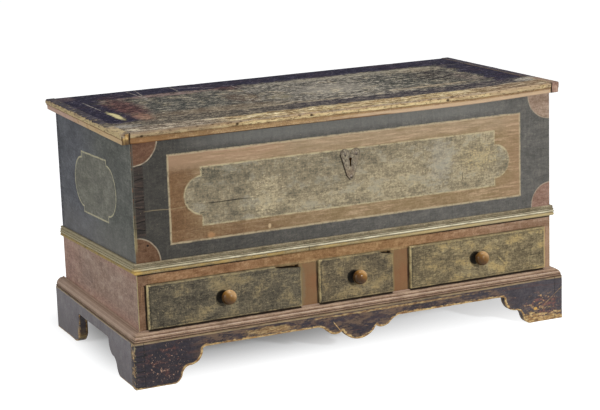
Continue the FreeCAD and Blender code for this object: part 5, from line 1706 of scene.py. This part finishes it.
def softenEdges(names, width):
    # joins the node's loose triangles and rounds its arrises, so that joints catch the light
    for name in names:
        node = nodes[name]
        node.modifiers.new("joined", "WELD").merge_threshold = 0.00001
        bevel = node.modifiers.new("arrises", "BEVEL")
        bevel.width, bevel.segments = width, 2
        bevel.limit_method, bevel.angle_limit = "ANGLE", math.radians(40)
        bevel.use_clamp_overlap = False


lidPaint, waistPaint, basePaint = makeLidMouldingFinish(), makeWaistFinish(), makeBaseFinish()
bracketPaint = makeBracketFinish()
alongX, alongY = makeBareWood("bareWoodAcross", "XYZ"), makeBareWood("bareWoodDeep", "YXZ")
dress(["front_board", "side_board_left", "side_board_right", "back_board_upper", "back_board_lower"],
      makeCaseFinish())
dress(["drawer_rail", "divider_left", "divider_right", "drawer_deck"], makeRailFinish())
dress(["chest_floor", "till_bottom"], alongX)
dress(["partition_left", "partition_right", "drawer_guides", "till_front"], alongY)
dress(["glue_blocks"], makeBareWood("blockWood", "ZYX", "#3d2a1c", "#6a4c30"))
iron = makeIron("forgedIron", "#2e2a27", "#4a423b", 0.75, 0.45, 0.75)
dress(["hinge_strap_left", "hinge_strap_right", "hinge_leaf_left", "hinge_leaf_right", "hinge_pins",
       "lock_case", "lock_bolt", "lid_staple"], iron)
dress(["escutcheon"], makePlateFinish())
dress(["escutcheon_nails"], makeIron("nailHeads", "#5f554b", "#8e8375", 0.3, 0.3, 0.5))
for drawerName in ("left", "middle", "right"):
    dress(["drawer_%s_side_left" % drawerName, "drawer_%s_side_right" % drawerName], alongY)
    dress(["drawer_%s_back" % drawerName, "drawer_%s_bottom" % drawerName], alongX)
print("finishes made")

softenEdges(["front_board", "side_board_left", "side_board_right", "drawer_rail", "divider_left",
             "divider_right", "back_board_upper", "back_board_lower"], 0.0006)
softenEdges(["escutcheon"], 0.0005)

for side in ("front", "left", "right"):
    name, sizes = "lid_moulding_" + side, mouldings["lidFront" if side == "front" else "lidSide"]
    mouldingPiece(name + "Own", lidProfile(sizes), sizes, side, lidHigh.z - sizes["height"], lidPaint,
                  "lid", end=caseBack, mitre=False, seed=len(name) + len(side))
waist, foot = mouldings["waist"], mouldings["base"]
for side in ("front", "left", "right"):
    mouldingPiece("waist_moulding_%sOwn" % side, waistProfile(waist), waist, side,
                  railTop - waist["below"], waistPaint, "chest", end=caseBack,
                  drop=0.0 if side == "front" else waist["drop"], seed=31)
    mouldingPiece("base_moulding_%sOwn" % side, baseProfile(foot), foot, side, bracketTop,
                  basePaint, "chest", end=baseHigh.y, seed=57)
print("mouldings made")

frontOutline, sideOutline, rearOutline = bracketOutlines()


def toFront(flat):
    # outline plane is X and Z, depth runs back from the base's front
    return np.stack([flat[..., 0], baseLow.y + flat[..., 2], flat[..., 1]], -1)


def toSide(way):
    # outline plane is Y and Z, depth runs inwards from the base's end
    return lambda flat: np.stack([way * (baseHigh.x - flat[..., 2]), flat[..., 0], flat[..., 1]], -1)


def toRear(way):
    # outline plane is X and Z behind the case
    return lambda flat: np.stack([-way * flat[..., 0], baseHigh.y - flat[..., 2] * 22 / 26,
                                  flat[..., 1]], -1)


bracketPiece("bracket_frontOwn", frontOutline, toFront, bracketPaint, ("bracket_front",), 71)
for way, side in ((-1, "left"), (1, "right")):
    bracketPiece("bracket_%sOwn" % side, sideOutline, toSide(way), bracketPaint, ("bracket_" + side,),
                 80 + way)
    bracketPiece("bracket_rear_%sOwn" % side, rearOutline, toRear(way), bracketPaint,
                 ("bracket_rear_" + side,), 90 + way)
print("brackets made")

drawerLooks = {
    "left": (("#2d2a24", "#534c3f", "#84795f"), 0.22), "middle": (("#2f2a25", "#5b513f", "#8c7e61"), 0.3),
    "right": (("#3b3528", "#6c6049", "#a39571"), 0.5),
}
knobPolish = makeKnobFinish()
for number, (name, span) in enumerate(drawerSpans().items()):
    shades, ochre = drawerLooks[name]
    drawerFront(name, span, makeDrawerFinish(name, span, shades, ochre), 100 + number * 7)
    makeKnob(name, (span[0] + span[1]) / 2, deckHigh.z + drawers["knobHeight"], knobPolish, number + 1)
makeLidBoard(makeLidFinish())
print("drawers and lid made")


def directRays(paint):
    # 1 for rays that show a surface by sight, by reflection or through another, 0 for its light
    path = outputsOf(paint, paint.add("ShaderNodeLightPath"))
    return most(path["Is Camera Ray"], path["Is Glossy Ray"], path["Is Transmission Ray"])


def makeFloor():
    # pale floor that takes the shadow and glows to white farther away; its glow is weaker under the chest,
    # a painted shadow
    mesh = bpy.data.meshes.new("floor")
    far, level = 30.0, -0.0005
    corners = [(-far, -far, level), (far, -far, level), (far, far, level), (-far, far, level)]
    mesh.from_pydata(corners, [], [(0, 1, 2, 3)])
    floor = bpy.data.objects.new("floor", mesh)
    bpy.context.scene.collection.objects.link(floor)
    material = bpy.data.materials.new("paleFloor")
    material.use_nodes = True
    tree = material.node_tree
    tree.nodes.clear()
    paint = Paint(tree)
    seen = directRays(paint)
    plain = paint.add("ShaderNodeBsdfDiffuse", {"Color": (0.48, 0.5, 0.515, 1)})
    # the glow is weakest under the chest, a painted shadow, and grows towards its front and to the right
    x, y = split(paint.value("Object", "ShaderNodeTexCoord"))[:2]
    deep = window(y, baseLow.y - 0.03, baseLow.y + 0.3, baseHigh.y - 0.1, baseHigh.y + 0.3)
    wide = window(x, -baseHigh.x - 0.06, -baseHigh.x + 0.12, baseHigh.x - 0.1, baseHigh.x + 0.2)
    shade = deep * wide * (1.0 - ease(x, -0.2, 0.6) * 0.5)
    lift = shade * (floorLift[0] - floorLift[1]) + floorLift[1]
    glow = paint.add("ShaderNodeEmission", {"Color": (1, 1, 1, 1), "Strength": lift})
    both = paint.add("ShaderNodeAddShader")
    tree.links.new(plain.outputs[0], both.inputs[0])
    tree.links.new(glow.outputs[0], both.inputs[1])
    pick = paint.add("ShaderNodeMixShader", {0: seen})
    tree.links.new(plain.outputs[0], pick.inputs[1])
    tree.links.new(both.outputs[0], pick.inputs[2])
    tree.links.new(pick.outputs[0], paint.add("ShaderNodeOutputMaterial").inputs[0])
    mesh.materials.append(material)


def makeWorld(strength):
    # white where it is seen, dimmer as a light
    world = bpy.data.worlds.new("studio")
    world.use_nodes = True
    tree = world.node_tree
    tree.nodes.clear()
    paint = Paint(tree)
    seen = directRays(paint)
    level = seen * (1.0 - strength) + strength
    sky = paint.add("ShaderNodeBackground", {"Color": (1, 1, 1, 1), "Strength": level})
    tree.links.new(sky.outputs[0], paint.add("ShaderNodeOutputWorld").inputs[0])
    bpy.context.scene.world = world


def makeLamp(name, place, target, size, power, colour=(1, 1, 1)):
    # round soft lamp, turned to its target
    lamp = bpy.data.lights.new(name, "AREA")
    lamp.shape, lamp.size, lamp.energy, lamp.color = "DISK", size, power, colour
    holder = bpy.data.objects.new(name, lamp)
    bpy.context.scene.collection.objects.link(holder)
    holder.location = place
    way = np.array(target, float) - np.array(place, float)
    holder.rotation_euler = Vector(way).to_track_quat("-Z", "Y").to_euler()


floorLift = (0.2, 0.95)          # under the chest, far away
light = {
    "sky": 0.13,
    "key": ((1.5, -4.8, 1.7), (0, 0, 0.35), 0.38, 185.0),
    "fill": ((-4.5, -0.9, 1.7), (-0.6, 0, 0.3), 2.2, 98.0),
    "top": ((0.4, -0.8, 3.6), (0, 0, 0.5), 1.6, 68.0),
}
makeFloor()
makeWorld(light["sky"])
for lampName in ("key", "fill", "top"):
    makeLamp(lampName, *light[lampName])

view = {"place": (-2.11428, -4.67298, 1.52430), "azimuth": -24.156, "tilt": 12.936, "roll": -1.956,
        "lens": 112.16}
camera = bpy.data.cameras.new("camera")
camera.lens, camera.sensor_width = view["lens"], 36.0
cameraHolder = bpy.data.objects.new("camera", camera)
bpy.context.scene.collection.objects.link(cameraHolder)
cameraHolder.matrix_world = Matrix.Translation(view["place"]) \
    @ Matrix.Rotation(math.radians(view["azimuth"]), 4, "Z") \
    @ Matrix.Rotation(math.radians(90 - view["tilt"]), 4, "X") \
    @ Matrix.Rotation(math.radians(view["roll"]), 4, "Z")
bpy.context.scene.camera = cameraHolder
bpy.context.scene.view_settings.view_transform = "Standard"

print("scene done")
